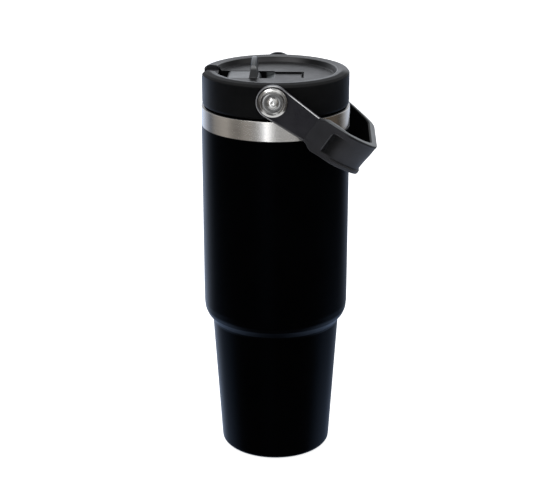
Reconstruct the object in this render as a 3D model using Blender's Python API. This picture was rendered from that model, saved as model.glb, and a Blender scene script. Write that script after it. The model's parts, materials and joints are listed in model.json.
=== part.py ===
"""Insulated travel mug with a screw lid, flip spout, straw and swinging bail handle.

Frame: origin at the centre of the base's underside, +Z up. The bail's pivot axis runs
along Y through the lid; the bail falls to the +X side and the spout points to -X.
Lengths below are in millimetres and are scaled to metres when the meshes are made.
"""
import math

import bmesh
import bpy
from mathutils import Matrix, Vector

MM = 0.001

# ---- driving dimensions (mm) ----
BODY_R = 46.0            # upper body, outside of the coat
BAND_R = 45.9            # bare steel collar
SHOULDER_R = 45.85       # upper body just above the step
WAIST_R = 40.55           # just below the step
WAIST_Z = 85.6
FOOT_R = 35.5            # lower body above the foot's rounding
COAT_TOP = 216.4         # where the coat stops
BAND_BOTTOM = 216.7
RIM_Z = 229.3            # top of the steel rim
SHELL_T = 0.9
LINER_R = 41.8           # inside of the liner at the neck
LINER_T = 0.9

THREAD_LEAD = 8.0        # rise for each turn
THREAD_TURNS = 1.25
THREAD_HALF = 1.3        # half thickness at the root
NECK_THREAD_Z = 209.0    # start of the neck's ridge
PLUG_THREAD_DROP = 3.0   # the plug's ridge runs this far under the neck's

LID_R = 45.4
LID_BOTTOM = 230.0
LID_TOP = 251.7
RIM_INNER_R = 37.4
DECK_R = 35.8
DECK_Z = 247.0
DECK_T = 3.2

SPOUT_X = -13.5          # spout's hinge axis (along Y)
SPOUT_Z = 243.0
BARREL_R = 4.6
SPOUT_HALF = 9.7         # half width along Y
SPOUT_TIP_X = -30.0
FIN_END = 254.6          # thumb fin, its height at both ends
FIN_TOP = 258.3          # and at its crest
WELL = (-35.5, -0.8, 10.3, 237.4)   # x low, x high, half width, floor
PORT_R = 3.0
NOTCH_HALF = 8.5

STRAW_OUT_R = 4.1
STRAW_IN_R = 3.3
STRAW_LOW = 12.0

PIVOT_Z = 241.35         # bail axis height
ARM_OUT = 49.3           # outer face of an arm, from the middle plane
ARM_IN = 46.5
ARM_HALF = 8.5           # half height of an arm
EYE_R = 10.0
ARM_END = 27.5
REST_TILT = math.radians(35.2)   # how far the bail hangs below the horizontal
GRIP_DEEP = 4.4
BAR_DEEP = 5.0
CORE_T = 1.8

SEG = 40


# ---- materials ----
def material(name, colour, rough, metal):
    mat = bpy.data.materials.new(name)
    mat.use_nodes = True
    shader = mat.node_tree.nodes["Principled BSDF"]
    shader.inputs["Base Color"].default_value = (*colour, 1.0)
    shader.inputs["Roughness"].default_value = rough
    shader.inputs["Metallic"].default_value = metal
    mat.diffuse_color = (*colour, 1.0)
    return mat


for old in list(bpy.data.objects):
    bpy.data.objects.remove(old, do_unlink=True)

COAT = material("black_coat", (0.006, 0.006, 0.008), 0.42, 0.0)
STEEL = material("brushed_steel", (0.62, 0.60, 0.57), 0.30, 1.0)
LINER = material("liner_steel", (0.60, 0.60, 0.60), 0.35, 1.0)
BASE = material("base_steel", (0.45, 0.45, 0.46), 0.40, 1.0)
SOLDER = material("seal_bead", (0.30, 0.30, 0.32), 0.5, 1.0)
GETTER = material("getter_metal", (0.30, 0.28, 0.26), 0.6, 1.0)
LID = material("lid_plastic", (0.012, 0.012, 0.014), 0.48, 0.0)
PLUG = material("plug_plastic", (0.05, 0.05, 0.055), 0.5, 0.0)
SPOUT = material("spout_plastic", (0.02, 0.02, 0.022), 0.35, 0.0)
RUBBER = material("silicone", (0.02, 0.02, 0.022), 0.7, 0.0)
STRAW = material("straw_plastic", (0.10, 0.10, 0.11), 0.3, 0.0)
FRAME = material("bail_plastic", (0.03, 0.03, 0.035), 0.35, 0.0)
GRIP = material("grip_rubber", (0.035, 0.035, 0.042), 0.6, 0.0)
CAP = material("screw_steel", (0.65, 0.65, 0.64), 0.22, 1.0)
NYLON = material("washer_nylon", (0.04, 0.04, 0.04), 0.5, 0.0)
BRASS = material("insert_brass", (0.55, 0.42, 0.20), 0.35, 1.0)


# ---- helpers ----
def finish(bm, name, mat, loc=(0, 0, 0), rot_y=0.0, helper=False, sharp=32):
    """The bmesh (in mm, about its own origin) as an object at loc (mm)."""
    bmesh.ops.remove_doubles(bm, verts=bm.verts[:], dist=1e-5)
    bmesh.ops.recalc_face_normals(bm, faces=bm.faces[:])
    bmesh.ops.scale(bm, vec=(MM, MM, MM), verts=bm.verts[:])
    mesh = bpy.data.meshes.new(name)
    bm.to_mesh(mesh)
    bm.free()
    obj = bpy.data.objects.new(name, mesh)
    bpy.context.scene.collection.objects.link(obj)
    obj.location = [c * MM for c in loc]
    obj.rotation_euler = (0.0, rot_y, 0.0)
    if helper:
        obj.hide_render = True
        obj.display_type = "WIRE"
    else:
        mesh.materials.append(mat)
        mesh.shade_smooth()
        mesh.set_sharp_from_angle(angle=math.radians(sharp))
    return obj


def spun(profile, segments=SEG, axis="Z", phase=0.0):
    """A turned solid. profile is a closed loop of (radius, height)."""
    bm = bmesh.new()
    verts = [bm.verts.new((r, 0.0, z)) for r, z in profile]
    edges = [bm.edges.new((a, b)) for a, b in zip(verts, verts[1:] + verts[:1])
             if not (a.co.x < 1e-9 and b.co.x < 1e-9)]
    if phase:
        bmesh.ops.rotate(bm, cent=(0, 0, 0), matrix=Matrix.Rotation(phase, 3, "Z"), verts=verts)
    bmesh.ops.spin(bm, geom=verts + edges, cent=(0, 0, 0), axis=(0, 0, 1),
                   angle=2 * math.pi, steps=segments, use_merge=True)
    bmesh.ops.remove_doubles(bm, verts=bm.verts[:], dist=1e-4)
    if axis == "Y":
        bmesh.ops.rotate(bm, cent=(0, 0, 0), matrix=Matrix.Rotation(-math.pi / 2, 3, "X"), verts=bm.verts[:])
    if axis == "X":
        bmesh.ops.rotate(bm, cent=(0, 0, 0), matrix=Matrix.Rotation(math.pi / 2, 3, "Y"), verts=bm.verts[:])
    return bm


def rod(radius, low, high, segments=24, axis="Z", phase=0.0):
    return spun([(0, low), (radius, low), (radius, high), (0, high)], segments, axis, phase)


def tube(inner, outer, low, high, segments=32, axis="Z", phase=0.0):
    return spun([(inner, low), (outer, low), (outer, high), (inner, high)], segments, axis, phase)


def box(x0, x1, y0, y1, z0, z1):
    bm = bmesh.new()
    made = bmesh.ops.create_cube(bm, size=1.0)
    bmesh.ops.scale(bm, vec=(x1 - x0, y1 - y0, z1 - z0), verts=made["verts"])
    bmesh.ops.translate(bm, vec=((x0 + x1) / 2, (y0 + y1) / 2, (z0 + z1) / 2), verts=made["verts"])
    return bm


def rounded_box(x0, x1, y0, y1, z0, z1, radius, segments=3, along="Z"):
    """A box whose edges parallel to one axis are rounded."""
    bm = box(x0, x1, y0, y1, z0, z1)
    k = "XYZ".index(along)
    picked = [e for e in bm.edges if abs((e.verts[0].co - e.verts[1].co)[k]) > 1e-6]
    bmesh.ops.bevel(bm, geom=picked, offset=radius, offset_type="OFFSET", segments=segments, profile=0.5,
                    affect="EDGES")
    return bm


def prism(outline, y0, y1):
    """Outline of (x, z) points drawn out along Y."""
    bm = bmesh.new()
    near = [bm.verts.new((x, y0, z)) for x, z in outline]
    face = bm.faces.new(near)
    out = bmesh.ops.extrude_face_region(bm, geom=[face])
    moved = [v for v in out["geom"] if isinstance(v, bmesh.types.BMVert)]
    bmesh.ops.translate(bm, vec=(0, y1 - y0, 0), verts=moved)
    return bm


def boolean(obj, other, how="DIFFERENCE"):
    mod = obj.modifiers.new(how.lower(), "BOOLEAN")
    mod.object = other
    mod.operation = how
    mod.solver = "EXACT"
    return mod


def helix_ridge(root, tip, start, half_root, half_tip, turns=THREAD_TURNS, per_turn=32):
    """A screw ridge: a trapezoid section swept up a helix, its ends run down to a point."""
    bm = bmesh.new()
    count = int(per_turn * turns)
    rings = []
    for i in range(count + 1):
        t = 2 * math.pi * turns * i / count
        fade = min(1.0, i / 5.0 + 0.12, (count - i) / 5.0 + 0.12)
        reach = root + (tip - root) * (0.25 + 0.75 * fade) if fade < 1 else tip
        z = start + THREAD_LEAD * t / (2 * math.pi)
        section = [(root, -half_root), (reach, -half_tip), (reach, half_tip), (root, half_root)]
        rings.append([bm.verts.new((r * math.cos(t), r * math.sin(t), z + dz)) for r, dz in section])
    for a, b in zip(rings, rings[1:]):
        for k in range(4):
            bm.faces.new((a[k], a[(k + 1) % 4], b[(k + 1) % 4], b[k]))
    bm.faces.new(rings[0])
    bm.faces.new(rings[-1][::-1])
    return bm


def swept_band(stations):
    """stations: (outer point, inner point, low, high) in the bail's plane; a band joined through them."""
    bm = bmesh.new()
    rings = []
    for (xo, yo), (xi, yi), low, high in stations:
        rings.append([bm.verts.new(p) for p in
                      ((xo, yo, low), (xo, yo, high), (xi, yi, high), (xi, yi, low))])
    for a, b in zip(rings, rings[1:]):
        for k in range(4):
            bm.faces.new((a[k], b[k], b[(k + 1) % 4], a[(k + 1) % 4]))
    bm.faces.new(rings[0][::-1])
    bm.faces.new(rings[-1])
    return bm


# ---- mug body ----
shell_out = [(32.6, 0.4), (34.3, 1.0), (35.2, 2.2), (FOOT_R, 3.8),
             (WAIST_R, WAIST_Z), (40.85, 86.9), (41.2, 87.7), (45.2, 94.3), (45.6, 95.8), (SHOULDER_R, 99.0), (BODY_R, COAT_TOP)]
shell_in = [(BODY_R - SHELL_T, COAT_TOP), (SHOULDER_R - SHELL_T, 99.2), (44.6, 96.6), (44.1, 95.0),
            (40.1, 88.3), (39.75, 87.4), (39.55, 85.9), (34.6, 5.0), (34.0, 4.4)]
shell_floor = [(1.2, 4.4), (1.2, 3.4), (29.2, 3.4), (30.6, 0.8)]
outer_shell = finish(spun(shell_out + shell_in + shell_floor), "outer_shell", COAT)

neck_band = finish(spun([(BAND_R, BAND_BOTTOM), (BAND_R, 227.9), (45.6, 228.75), (44.9, RIM_Z), (43.0, RIM_Z),
                         (42.3, 228.95), (42.0, 228.2), (42.0, 227.2), (45.0, 227.2), (45.0, BAND_BOTTOM)]),
                   "neck_band", STEEL)

liner = finish(spun([(0, 7.4), (28.2, 7.4), (30.4, 8.3), (31.5, 11.0), (36.3, 84.0), (37.2, 86.8), (40.9, 97.5),
                     (LINER_R, 101.5), (LINER_R, 226.9), (LINER_R + LINER_T, 226.9), (LINER_R + LINER_T, 101.2),
                     (41.9, 97.6), (38.1, 86.4), (37.2, 83.6), (32.4, 10.6), (31.2, 7.7), (28.4, 6.5), (0, 6.5)]),
               "inner_liner", LINER)
neck_ridge = finish(helix_ridge(LINER_R + 0.35, 40.3, NECK_THREAD_Z, THREAD_HALF, 0.7), "cut_neck_ridge", None,
                    helper=True)
boolean(liner, neck_ridge, "UNION")

finish(spun([(0, 0), (27.2, 0), (28.4, 0.4), (28.9, 1.2), (28.9, 2.2), (28.1, 2.2), (27.5, 1.3), (0, 1.3)], 32),
       "base_plate", BASE)
finish(spun([(0, 1.7), (2.5, 1.75), (3.2, 2.3), (2.8, 3.05), (0, 3.05)], 16), "vacuum_seal", SOLDER)
finish(spun([(0, 4.8), (6.6, 4.8), (7.0, 5.2), (7.0, 5.8), (6.6, 6.15), (0, 6.15)], 16), "getter", GETTER,
       loc=(15, 0, 0))

# ---- lid ----
finish(spun([(42.1, 229.6), (43.3, 229.6), (43.6, 230.2), (43.6, 231.2), (43.3, 231.6), (42.2, 231.6)]),
       "lid_gasket", RUBBER)

housing = finish(spun([
    (44.1, LID_BOTTOM + 0.1), (44.9, LID_BOTTOM), (45.25, LID_BOTTOM + 0.5), (LID_R, LID_BOTTOM + 1.4),
    (LID_R, 249.5), (45.1, 250.2), (44.4, 250.75), (RIM_INNER_R + 0.4, LID_TOP),
    (RIM_INNER_R, 251.35), (DECK_R + 0.25, DECK_Z + 0.7), (DECK_R - 0.5, DECK_Z), (0, DECK_Z),
    (0, DECK_Z - DECK_T), (41.6, DECK_Z - DECK_T), (42.0, DECK_Z - DECK_T - 0.4), (42.0, 234.7), (44.1, 234.7)]),
    "lid_housing", LID)
x0, x1, half, floor_z = WELL
well_walls = finish(rounded_box(x0 - 1.6, x1 + 1.6, -half - 1.6, half + 1.6, floor_z - 2.0, DECK_Z - 1.0, 2.0),
                    "cut_well_walls", None, helper=True)
cheeks = finish(box(SPOUT_X - 3.2, SPOUT_X + 3.2, -14.2, 14.2, 239.6, DECK_Z - 1.1), "cut_cheeks", None, helper=True)
boss_near = finish(rounded_box(-6.6, 6.6, -42.9, -35.4, 234.95, DECK_Z - 1.2, 2.0, along="Y"), "cut_boss_near",
                   None, helper=True)
boss_far = finish(rounded_box(-6.6, 6.6, 35.4, 42.9, 234.95, DECK_Z - 1.2, 2.0, along="Y"), "cut_boss_far",
                  None, helper=True)
# The well's right end slopes up: the open spout's fin comes to rest on it.
well_space = finish(prism([(x0, floor_z), (-8.7, floor_z), (-8.7, 241.7), (x1, 245.3), (x1, LID_TOP + 4),
                           (x0, LID_TOP + 4)], -half, half), "cut_well_space", None, helper=True)
port = finish(spun([(0, 230), (PORT_R, 230), (PORT_R, 236.6), (5.3, 236.6), (5.3, 240), (0, 240)], 20), "cut_port",
              None, loc=(SPOUT_X, 0, 0), helper=True)
vent = finish(rod(1.0, 230, 240, 12), "cut_vent", None, loc=(-27, 4, 0), helper=True)
pin_bore = finish(rod(1.5, -13.5, 13.5, 12, "Y"), "cut_pin_bore", None, loc=(SPOUT_X, 0, SPOUT_Z), helper=True)
tray = finish(rounded_box(x1 - 0.6, 17.3, -8.5, 8.5, DECK_Z - 1.1, LID_TOP + 4, 0.5), "cut_tray", None, helper=True)
notch = finish(prism([(-34.0, 256.0), (-34.0, 248.0), (-42.6, 248.0), (-45.6, 245.9), (-50.0, 245.9),
                      (-50.0, 256.0)], -NOTCH_HALF, NOTCH_HALF), "cut_notch", None, helper=True)
seat_near = finish(rod(4.5, -50.0, -36.9, 16, "Y"), "cut_seat_near", None, loc=(0, 0, PIVOT_Z), helper=True)
seat_far = finish(rod(4.5, 36.9, 50.0, 16, "Y"), "cut_seat_far", None, loc=(0, 0, PIVOT_Z), helper=True)
for other in (well_walls, cheeks, boss_near, boss_far):
    boolean(housing, other, "UNION")
for other in (well_space, port, vent, pin_bore, tray, notch, seat_near, seat_far):
    boolean(housing, other)

PLUG_LOW = 203.0
plug = finish(spun([
    (0, PLUG_LOW), (38.6, PLUG_LOW), (39.8, PLUG_LOW + 1.2), (39.8, 222.0), (41.3, 223.5), (41.3, 231.9),
    (43.8, 231.9), (43.8, 234.4), (37.8, 234.4), (37.8, PLUG_LOW + 2.4), (0, PLUG_LOW + 2.4)]), "lid_plug", PLUG)
plug_ridge = finish(helix_ridge(39.3, 41.4, NECK_THREAD_Z - PLUG_THREAD_DROP, THREAD_HALF, 0.7), "cut_plug_ridge",
                    None, helper=True)
tower = finish(rod(7.0, PLUG_LOW + 0.6, 235.1, 24), "cut_tower", None, loc=(SPOUT_X, 0, 0), helper=True)
tower_bore = finish(rod(5.0, PLUG_LOW - 4, 240, 20), "cut_tower_bore", None, loc=(SPOUT_X, 0, 0), helper=True)
valve_bore = finish(rod(1.5, PLUG_LOW - 4, 208, 12), "cut_valve_bore", None, loc=(16, 0, 0), helper=True)
boolean(plug, plug_ridge, "UNION")
boolean(plug, tower, "UNION")
boolean(plug, tower_bore)
boolean(plug, valve_bore)

finish(tube(3.0, 5.0, 236.9, 238.1, 20), "spout_seal", RUBBER, loc=(SPOUT_X, 0, 0))
finish(spun([(0, 201.2), (4.4, 201.5), (5.0, 202.7), (1.2, 202.7), (1.2, 205.7), (2.1, 206.0), (1.5, 207.4),
             (0, 207.6)], 12), "vent_valve", RUBBER, loc=(16, 0, 0))
finish(spun([(2.3, 189.0), (2.8, 189.0), (3.0, 189.4), (3.0, 199.5), (4.6, 199.5), (4.6, 235.1), (2.3, 235.1)], 16),
       "straw_adapter", STRAW, loc=(SPOUT_X, 0, 0))
finish(tube(STRAW_IN_R, STRAW_OUT_R, STRAW_LOW, 199.2, 16), "straw", STRAW, loc=(SPOUT_X, 0, 0))

# ---- flip spout: made about its hinge axis ----
def arched_fin(half=9.5, stations=12):
    """The thumb fin: tapered in X, with a crest that arches along Y."""
    bm = bmesh.new()
    rings = []
    for i in range(stations + 1):
        y = half * (2 * i / stations - 1)
        h = FIN_END - SPOUT_Z + (FIN_TOP - FIN_END) * (1 - (y / half) ** 2)
        rings.append([bm.verts.new((x, y, z)) for x, z in
                      ((-2.7, 2.6), (2.8, 2.6), (2.1, h - 0.5), (1.6, h), (-0.4, h), (-0.9, h - 0.5))])
    for a, b in zip(rings, rings[1:]):
        for k in range(6):
            bm.faces.new((a[k], a[(k + 1) % 6], b[(k + 1) % 6], b[k]))
    bm.faces.new(rings[0])
    bm.faces.new(rings[-1][::-1])
    return bm


spout = finish(rod(BARREL_R, -SPOUT_HALF, SPOUT_HALF, 32, "Y"), "spout", SPOUT, loc=(SPOUT_X, 0, SPOUT_Z))
tongue = finish(rounded_box(SPOUT_TIP_X - SPOUT_X, -0.4, -SPOUT_HALF + 0.2, SPOUT_HALF - 0.2, -3.5, 3.9, 2.2,
                            along="Y"), "cut_tongue", None, loc=(SPOUT_X, 0, SPOUT_Z), helper=True)
fin = finish(arched_fin(), "cut_fin", None, loc=(SPOUT_X, 0, SPOUT_Z), helper=True)
drink_bore = finish(rod(2.4, -25.0, 12.0, 16, "X"), "cut_drink_bore", None, loc=(SPOUT_X, 0, SPOUT_Z), helper=True)
near_bore = finish(rod(1.5, -12.0, -6.0, 12, "Y"), "cut_near_bore", None, loc=(SPOUT_X, 0, SPOUT_Z), helper=True)
far_bore = finish(rod(1.5, 6.0, 12.0, 12, "Y"), "cut_far_bore", None, loc=(SPOUT_X, 0, SPOUT_Z), helper=True)
boolean(spout, tongue, "UNION")
boolean(spout, fin, "UNION")
for other in (drink_bore, near_bore, far_bore):
    boolean(spout, other)
finish(rod(1.2, -13.1, -6.2, 12, "Y"), "spout_pin_front", CAP, loc=(SPOUT_X, 0, SPOUT_Z))
finish(rod(1.2, 6.2, 13.1, 12, "Y"), "spout_pin_rear", CAP, loc=(SPOUT_X, 0, SPOUT_Z))

# ---- bail pivots ----
# The profile's height is the distance from the middle plane; the front is at -Y.
screw_profile = [(0, 38.0), (2.7, 38.0), (2.7, 49.6), (8.3, 49.6), (8.7, 49.9), (8.7, 51.0), (8.3, 51.6),
                 (7.6, 51.6), (6.8, 50.8), (2.8, 51.0), (2.5, 51.5), (1.3, 51.5), (1.1, 50.6), (0, 50.6)]
for name, turn in (("front", math.pi), ("rear", 0.0)):
    for part, profile, mat, seg in (
            ("pivot_screw_", screw_profile, CAP, 24),
            ("pivot_washer_", [(3.2, 45.65), (7.4, 45.65), (7.4, 46.2), (3.2, 46.2)], NYLON, 24),
            ("pivot_insert_", [(3.0, 37.2), (4.2, 37.2), (4.2, 44.6), (3.0, 44.6)], BRASS, 16)):
        bm = spun(profile, seg, "Y")
        if turn:
            bmesh.ops.rotate(bm, cent=(0, 0, 0), matrix=Matrix.Rotation(turn, 3, "Z"), verts=bm.verts[:])
        finish(bm, part + name, mat, loc=(0, 0, PIVOT_Z))


# ---- bail handle: made flat, X along the arms from the pivot axis, then tilted to its rest ----
def bail_line():
    """Outer face of the bail's bend, near (-Y) half then far half, as (x, y)."""
    knots = [Vector(p) for p in ((20.0, 49.5), (28.0, 49.5), (36.5, 48.6), (44.5, 46.6), (50.5, 44.2),
                                 (56.5, 40.6), (61.0, 37.2), (65.0, 33.6), (67.6, 30.6))]
    pts = [knots[1]]
    for i in range(1, len(knots) - 1):
        a, b = knots[i], knots[i + 1]
        c = knots[i + 2] if i + 2 < len(knots) else b + (b - a)
        z = knots[i - 1]
        for s in ((0.5, 1.0) if b.x < 51 else (1.0,)):
            pts.append(0.5 * ((2 * a) + (b - z) * s + (2 * z - 5 * a + 4 * b - c) * s * s
                              + (3 * a - z - 3 * b + c) * s ** 3))
    for x, y in ((69.4, 27.4), (70.2, 23.6), (70.2, 9.0)):
        pts.append(Vector((x, y)))
    return [Vector((p.x, -p.y)) for p in pts] + [Vector((p.x, p.y)) for p in reversed(pts)]


LINE = bail_line()


def offset(line, by):
    """Points moved inward, square to the line."""
    out = []
    for i, p in enumerate(line):
        a = line[max(i - 1, 0)]
        b = line[min(i + 1, len(line) - 1)]
        d = (b - a).normalized()
        n = Vector((-d.y, d.x))
        before = (p - a).normalized() if i else d
        m = Vector((-before.y, before.x))
        out.append(p + n * (by / max(0.6, n.dot(m))))
    return out


def half_heights(p):
    """Lower and upper edge of the grip at a point of its line."""
    t = min(1.0, max(0.0, (p.x - 28.0) / 8.0))
    t = t * t * (3 - 2 * t)
    end = min(1.0, max(0.0, (p.x - 40.0) / 10.0))
    return -8.6 - 2.7 * t - 0.5 * end, 8.6 + 1.7 * t - 0.9 * end


def deep(p):
    t = min(1.0, max(0.0, (p.x - 28.0) / 8.0))
    end = min(1.0, max(0.0, (p.x - 61.0) / 6.0))
    return 3.2 + (GRIP_DEEP - 3.2) * t + (BAR_DEEP - GRIP_DEEP) * end


start = Vector((ARM_END + 0.3, -49.5))
grip_line = [start] + LINE[1:-1] + [Vector((start.x, 49.5))]
inner_line = [offset(grip_line, deep(p))[i] for i, p in enumerate(grip_line)]
grip = finish(swept_band([(o, i, *half_heights(o)) for o, i in zip(grip_line, inner_line)]), "handle_grip", GRIP,
              loc=(0, 0, PIVOT_Z), rot_y=REST_TILT, sharp=40)
core_line = [Vector((14.0, -49.5))] + LINE + [Vector((14.0, 49.5))]


def core_band(grow, first, last):
    line = [Vector((first, -49.5))] + LINE + [Vector((last, 49.5))]
    mid = [0.5 * deep(p) + (0.15 if p.x < 30 else 0.0) for p in line]
    outer = [offset(line, m - CORE_T / 2 - grow)[i] for i, m in enumerate(mid)]
    inner = [offset(line, m + CORE_T / 2 + grow)[i] for i, m in enumerate(mid)]
    return swept_band([(o, i, -6.9 - grow, 6.3 + grow) for o, i in zip(outer, inner)])


core_space = finish(core_band(0.3, 20.0, 20.0), "cut_core_space", None, loc=(0, 0, PIVOT_Z), rot_y=REST_TILT,
                    helper=True)
boolean(grip, core_space)

frame = finish(core_band(0.0, 22.0, 22.0), "handle_frame", FRAME, loc=(0, 0, PIVOT_Z), rot_y=REST_TILT, sharp=40)
for side in (-1, 1):
    y0, y1 = sorted((side * ARM_IN, side * ARM_OUT))
    arm = finish(box(0.0, ARM_END, y0, y1, -ARM_HALF, ARM_HALF), "cut_arm_%d" % (side + 1), None,
                 loc=(0, 0, PIVOT_Z), rot_y=REST_TILT, helper=True)
    eye = finish(rod(EYE_R, y0 - 0.0, y1 + 0.0, 32, "Y"), "cut_eye_%d" % (side + 1), None,
                 loc=(0, 0, PIVOT_Z), rot_y=REST_TILT, helper=True)
    bore = finish(rod(3.1, y0 - 3, y1 + 3, 16, "Y"), "cut_eye_bore_%d" % (side + 1), None,
                  loc=(0, 0, PIVOT_Z), rot_y=REST_TILT, helper=True)
    boolean(frame, arm, "UNION")
    boolean(frame, eye, "UNION")
    boolean(frame, bore)
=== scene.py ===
"""Looks for the insulated travel mug: every piece is built fine here and rides on its CAD body.

Lengths are in millimetres in the helpers and become metres when a mesh is made. The frame
is the CAD's: origin under the base, +Z up, bail to +X, spout to -X, front at -Y.
"""
import json
import math

import bmesh
import bpy
from mathutils import Matrix, Vector

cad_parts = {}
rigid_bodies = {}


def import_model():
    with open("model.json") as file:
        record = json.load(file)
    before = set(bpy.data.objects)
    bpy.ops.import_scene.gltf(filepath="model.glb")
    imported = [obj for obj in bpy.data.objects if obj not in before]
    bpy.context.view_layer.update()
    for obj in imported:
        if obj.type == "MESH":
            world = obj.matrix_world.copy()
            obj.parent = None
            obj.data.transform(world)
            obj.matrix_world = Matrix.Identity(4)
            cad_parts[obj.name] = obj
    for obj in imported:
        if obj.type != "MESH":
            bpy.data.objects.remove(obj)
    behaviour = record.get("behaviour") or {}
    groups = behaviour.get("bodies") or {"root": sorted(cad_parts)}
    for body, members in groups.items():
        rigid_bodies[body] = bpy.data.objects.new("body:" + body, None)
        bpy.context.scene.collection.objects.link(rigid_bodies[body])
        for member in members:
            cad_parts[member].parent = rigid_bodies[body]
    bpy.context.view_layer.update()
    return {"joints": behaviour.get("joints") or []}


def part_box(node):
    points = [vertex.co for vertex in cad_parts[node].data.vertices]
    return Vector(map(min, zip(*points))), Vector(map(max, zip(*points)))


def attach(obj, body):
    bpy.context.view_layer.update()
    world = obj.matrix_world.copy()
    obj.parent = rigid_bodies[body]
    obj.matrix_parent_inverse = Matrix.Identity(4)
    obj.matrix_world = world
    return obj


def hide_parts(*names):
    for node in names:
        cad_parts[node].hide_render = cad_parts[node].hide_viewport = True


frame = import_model()
MM = 0.001

JOINT = {j["name"]: Vector(j.get("pos_m", (0, 0, 0))) / MM for j in frame["joints"]}
SPOUT = JOINT["spout_flip"]
PIVOT = JOINT["handle_swing"]
TILT = math.radians(35.2)
SEG = 192


def top(node):
    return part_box(node)[1].z / MM


def low(node):
    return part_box(node)[0].z / MM


# ------------------------------------------------------------------ mesh helpers
def corners(profile, closed, steps):
    """Points of a profile with its corners rounded; a third number is the corner's radius."""
    out, n = [], len(profile)
    for i, p in enumerate(profile):
        radius = p[2] if len(p) > 2 else 0.0
        here = Vector(p[:2])
        if radius <= 0 or (not closed and i in (0, n - 1)):
            out.append(here)
            continue
        a = Vector(profile[i - 1][:2]) - here
        b = Vector(profile[(i + 1) % n][:2]) - here
        la, lb = a.length, b.length
        a, b = a / la, b / lb
        half = a.angle(b) / 2
        if half > math.radians(88):
            out.append(here)
            continue
        reach = min(radius / math.tan(half), 0.48 * la, 0.48 * lb)
        r = reach * math.tan(half)
        centre = here + (a + b).normalized() * (r / math.sin(half))
        start, end = here + a * reach - centre, here + b * reach - centre
        turn = start.angle(end) * (1 if start.cross(end) > 0 else -1)
        for k in range(steps + 1):
            t = turn * k / steps
            out.append(centre + Vector((start.x * math.cos(t) - start.y * math.sin(t),
                                        start.x * math.sin(t) + start.y * math.cos(t))))
    return out


AXES = {"Z": Matrix.Identity(3), "Y": Matrix.Rotation(-math.pi / 2, 3, "X"), "X": Matrix.Rotation(math.pi / 2, 3, "Y")}


def turned(profile, segments=SEG, closed=True, steps=4, axis="Z", capped=False):
    """A turned bmesh from (radius, height) points. capped closes an open profile's two end rings with flat faces."""
    bm = bmesh.new()
    rings = []
    for p in corners(profile, closed, steps):
        if p.x < 1e-6:
            rings.append([bm.verts.new((0, 0, p.y))])
        else:
            rings.append([bm.verts.new((p.x * math.cos(2 * math.pi * k / segments),
                                        p.x * math.sin(2 * math.pi * k / segments), p.y)) for k in range(segments)])
    pairs = list(zip(rings, rings[1:] + rings[:1])) if closed else list(zip(rings, rings[1:]))
    for a, b in pairs:
        if len(a) == 1 and len(b) == 1:
            continue
        for k in range(segments):
            j = (k + 1) % segments
            loop = [a[k % len(a)], a[j % len(a)], b[j % len(b)], b[k % len(b)]]
            loop = [v for i, v in enumerate(loop) if v is not loop[i - 1]]
            bm.faces.new(loop)
    if capped:
        bm.faces.new(rings[0])
        bm.faces.new(rings[-1][::-1])
    bmesh.ops.rotate(bm, cent=(0, 0, 0), matrix=AXES[axis], verts=bm.verts[:])
    return bm


def box(x0, x1, y0, y1, z0, z1, radius=0.0, along="Z", segments=5):
    bm = bmesh.new()
    made = bmesh.ops.create_cube(bm, size=1.0)
    bmesh.ops.scale(bm, vec=(x1 - x0, y1 - y0, z1 - z0), verts=made["verts"])
    bmesh.ops.translate(bm, vec=((x0 + x1) / 2, (y0 + y1) / 2, (z0 + z1) / 2), verts=made["verts"])
    if radius:
        k = "XYZ".index(along)
        picked = [e for e in bm.edges if abs((e.verts[0].co - e.verts[1].co)[k]) > 1e-6]
        bmesh.ops.bevel(bm, geom=picked, offset=radius, offset_type="OFFSET", segments=segments, profile=0.5,
                        affect="EDGES")
    return bm


def prism(outline, y0, y1):
    bm = bmesh.new()
    face = bm.faces.new([bm.verts.new((x, y0, z)) for x, z in outline])
    out = bmesh.ops.extrude_face_region(bm, geom=[face])
    bmesh.ops.translate(bm, vec=(0, y1 - y0, 0), verts=[v for v in out["geom"] if isinstance(v, bmesh.types.BMVert)])
    return bm


def ridge(root, tip, start, half_root, half_tip, lead=8.0, turns=1.25, per_turn=96):
    """A screw ridge with its ends run out."""
    bm = bmesh.new()
    count = int(per_turn * turns)
    rings = []
    for i in range(count + 1):
        t = 2 * math.pi * turns * i / count
        ease = min(1.0, i / 14.0, (count - i) / 14.0)
        ease = ease * ease * (3 - 2 * ease)
        reach = root + (tip - root) * (0.3 + 0.7 * ease)
        z = start + lead * t / (2 * math.pi)
        mid = half_tip + 0.15 * (half_root - half_tip)
        knee = root + (reach - root) * 0.88
        section = [(root, -half_root), (knee, -mid), (reach, -half_tip * 0.7), (reach, half_tip * 0.7), (knee, mid),
                   (root, half_root)]
        rings.append([bm.verts.new((r * math.cos(t), r * math.sin(t), z + dz)) for r, dz in section])
    n = len(rings[0])
    for a, b in zip(rings, rings[1:]):
        for k in range(n):
            bm.faces.new((a[k], a[(k + 1) % n], b[(k + 1) % n], b[k]))
    bm.faces.new(rings[0])
    bm.faces.new(rings[-1][::-1])
    return bm


def put(bm, name, loc=(0, 0, 0), rot_y=0.0):
    bmesh.ops.remove_doubles(bm, verts=bm.verts[:], dist=1e-5)
    bmesh.ops.recalc_face_normals(bm, faces=bm.faces[:])
    bmesh.ops.scale(bm, vec=(MM, MM, MM), verts=bm.verts[:])
    mesh = bpy.data.meshes.new(name)
    bm.to_mesh(mesh)
    bm.free()
    obj = bpy.data.objects.new(name, mesh)
    bpy.context.scene.collection.objects.link(obj)
    obj.location = [c * MM for c in loc]
    obj.rotation_euler = (0, rot_y, 0)
    return obj


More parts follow.
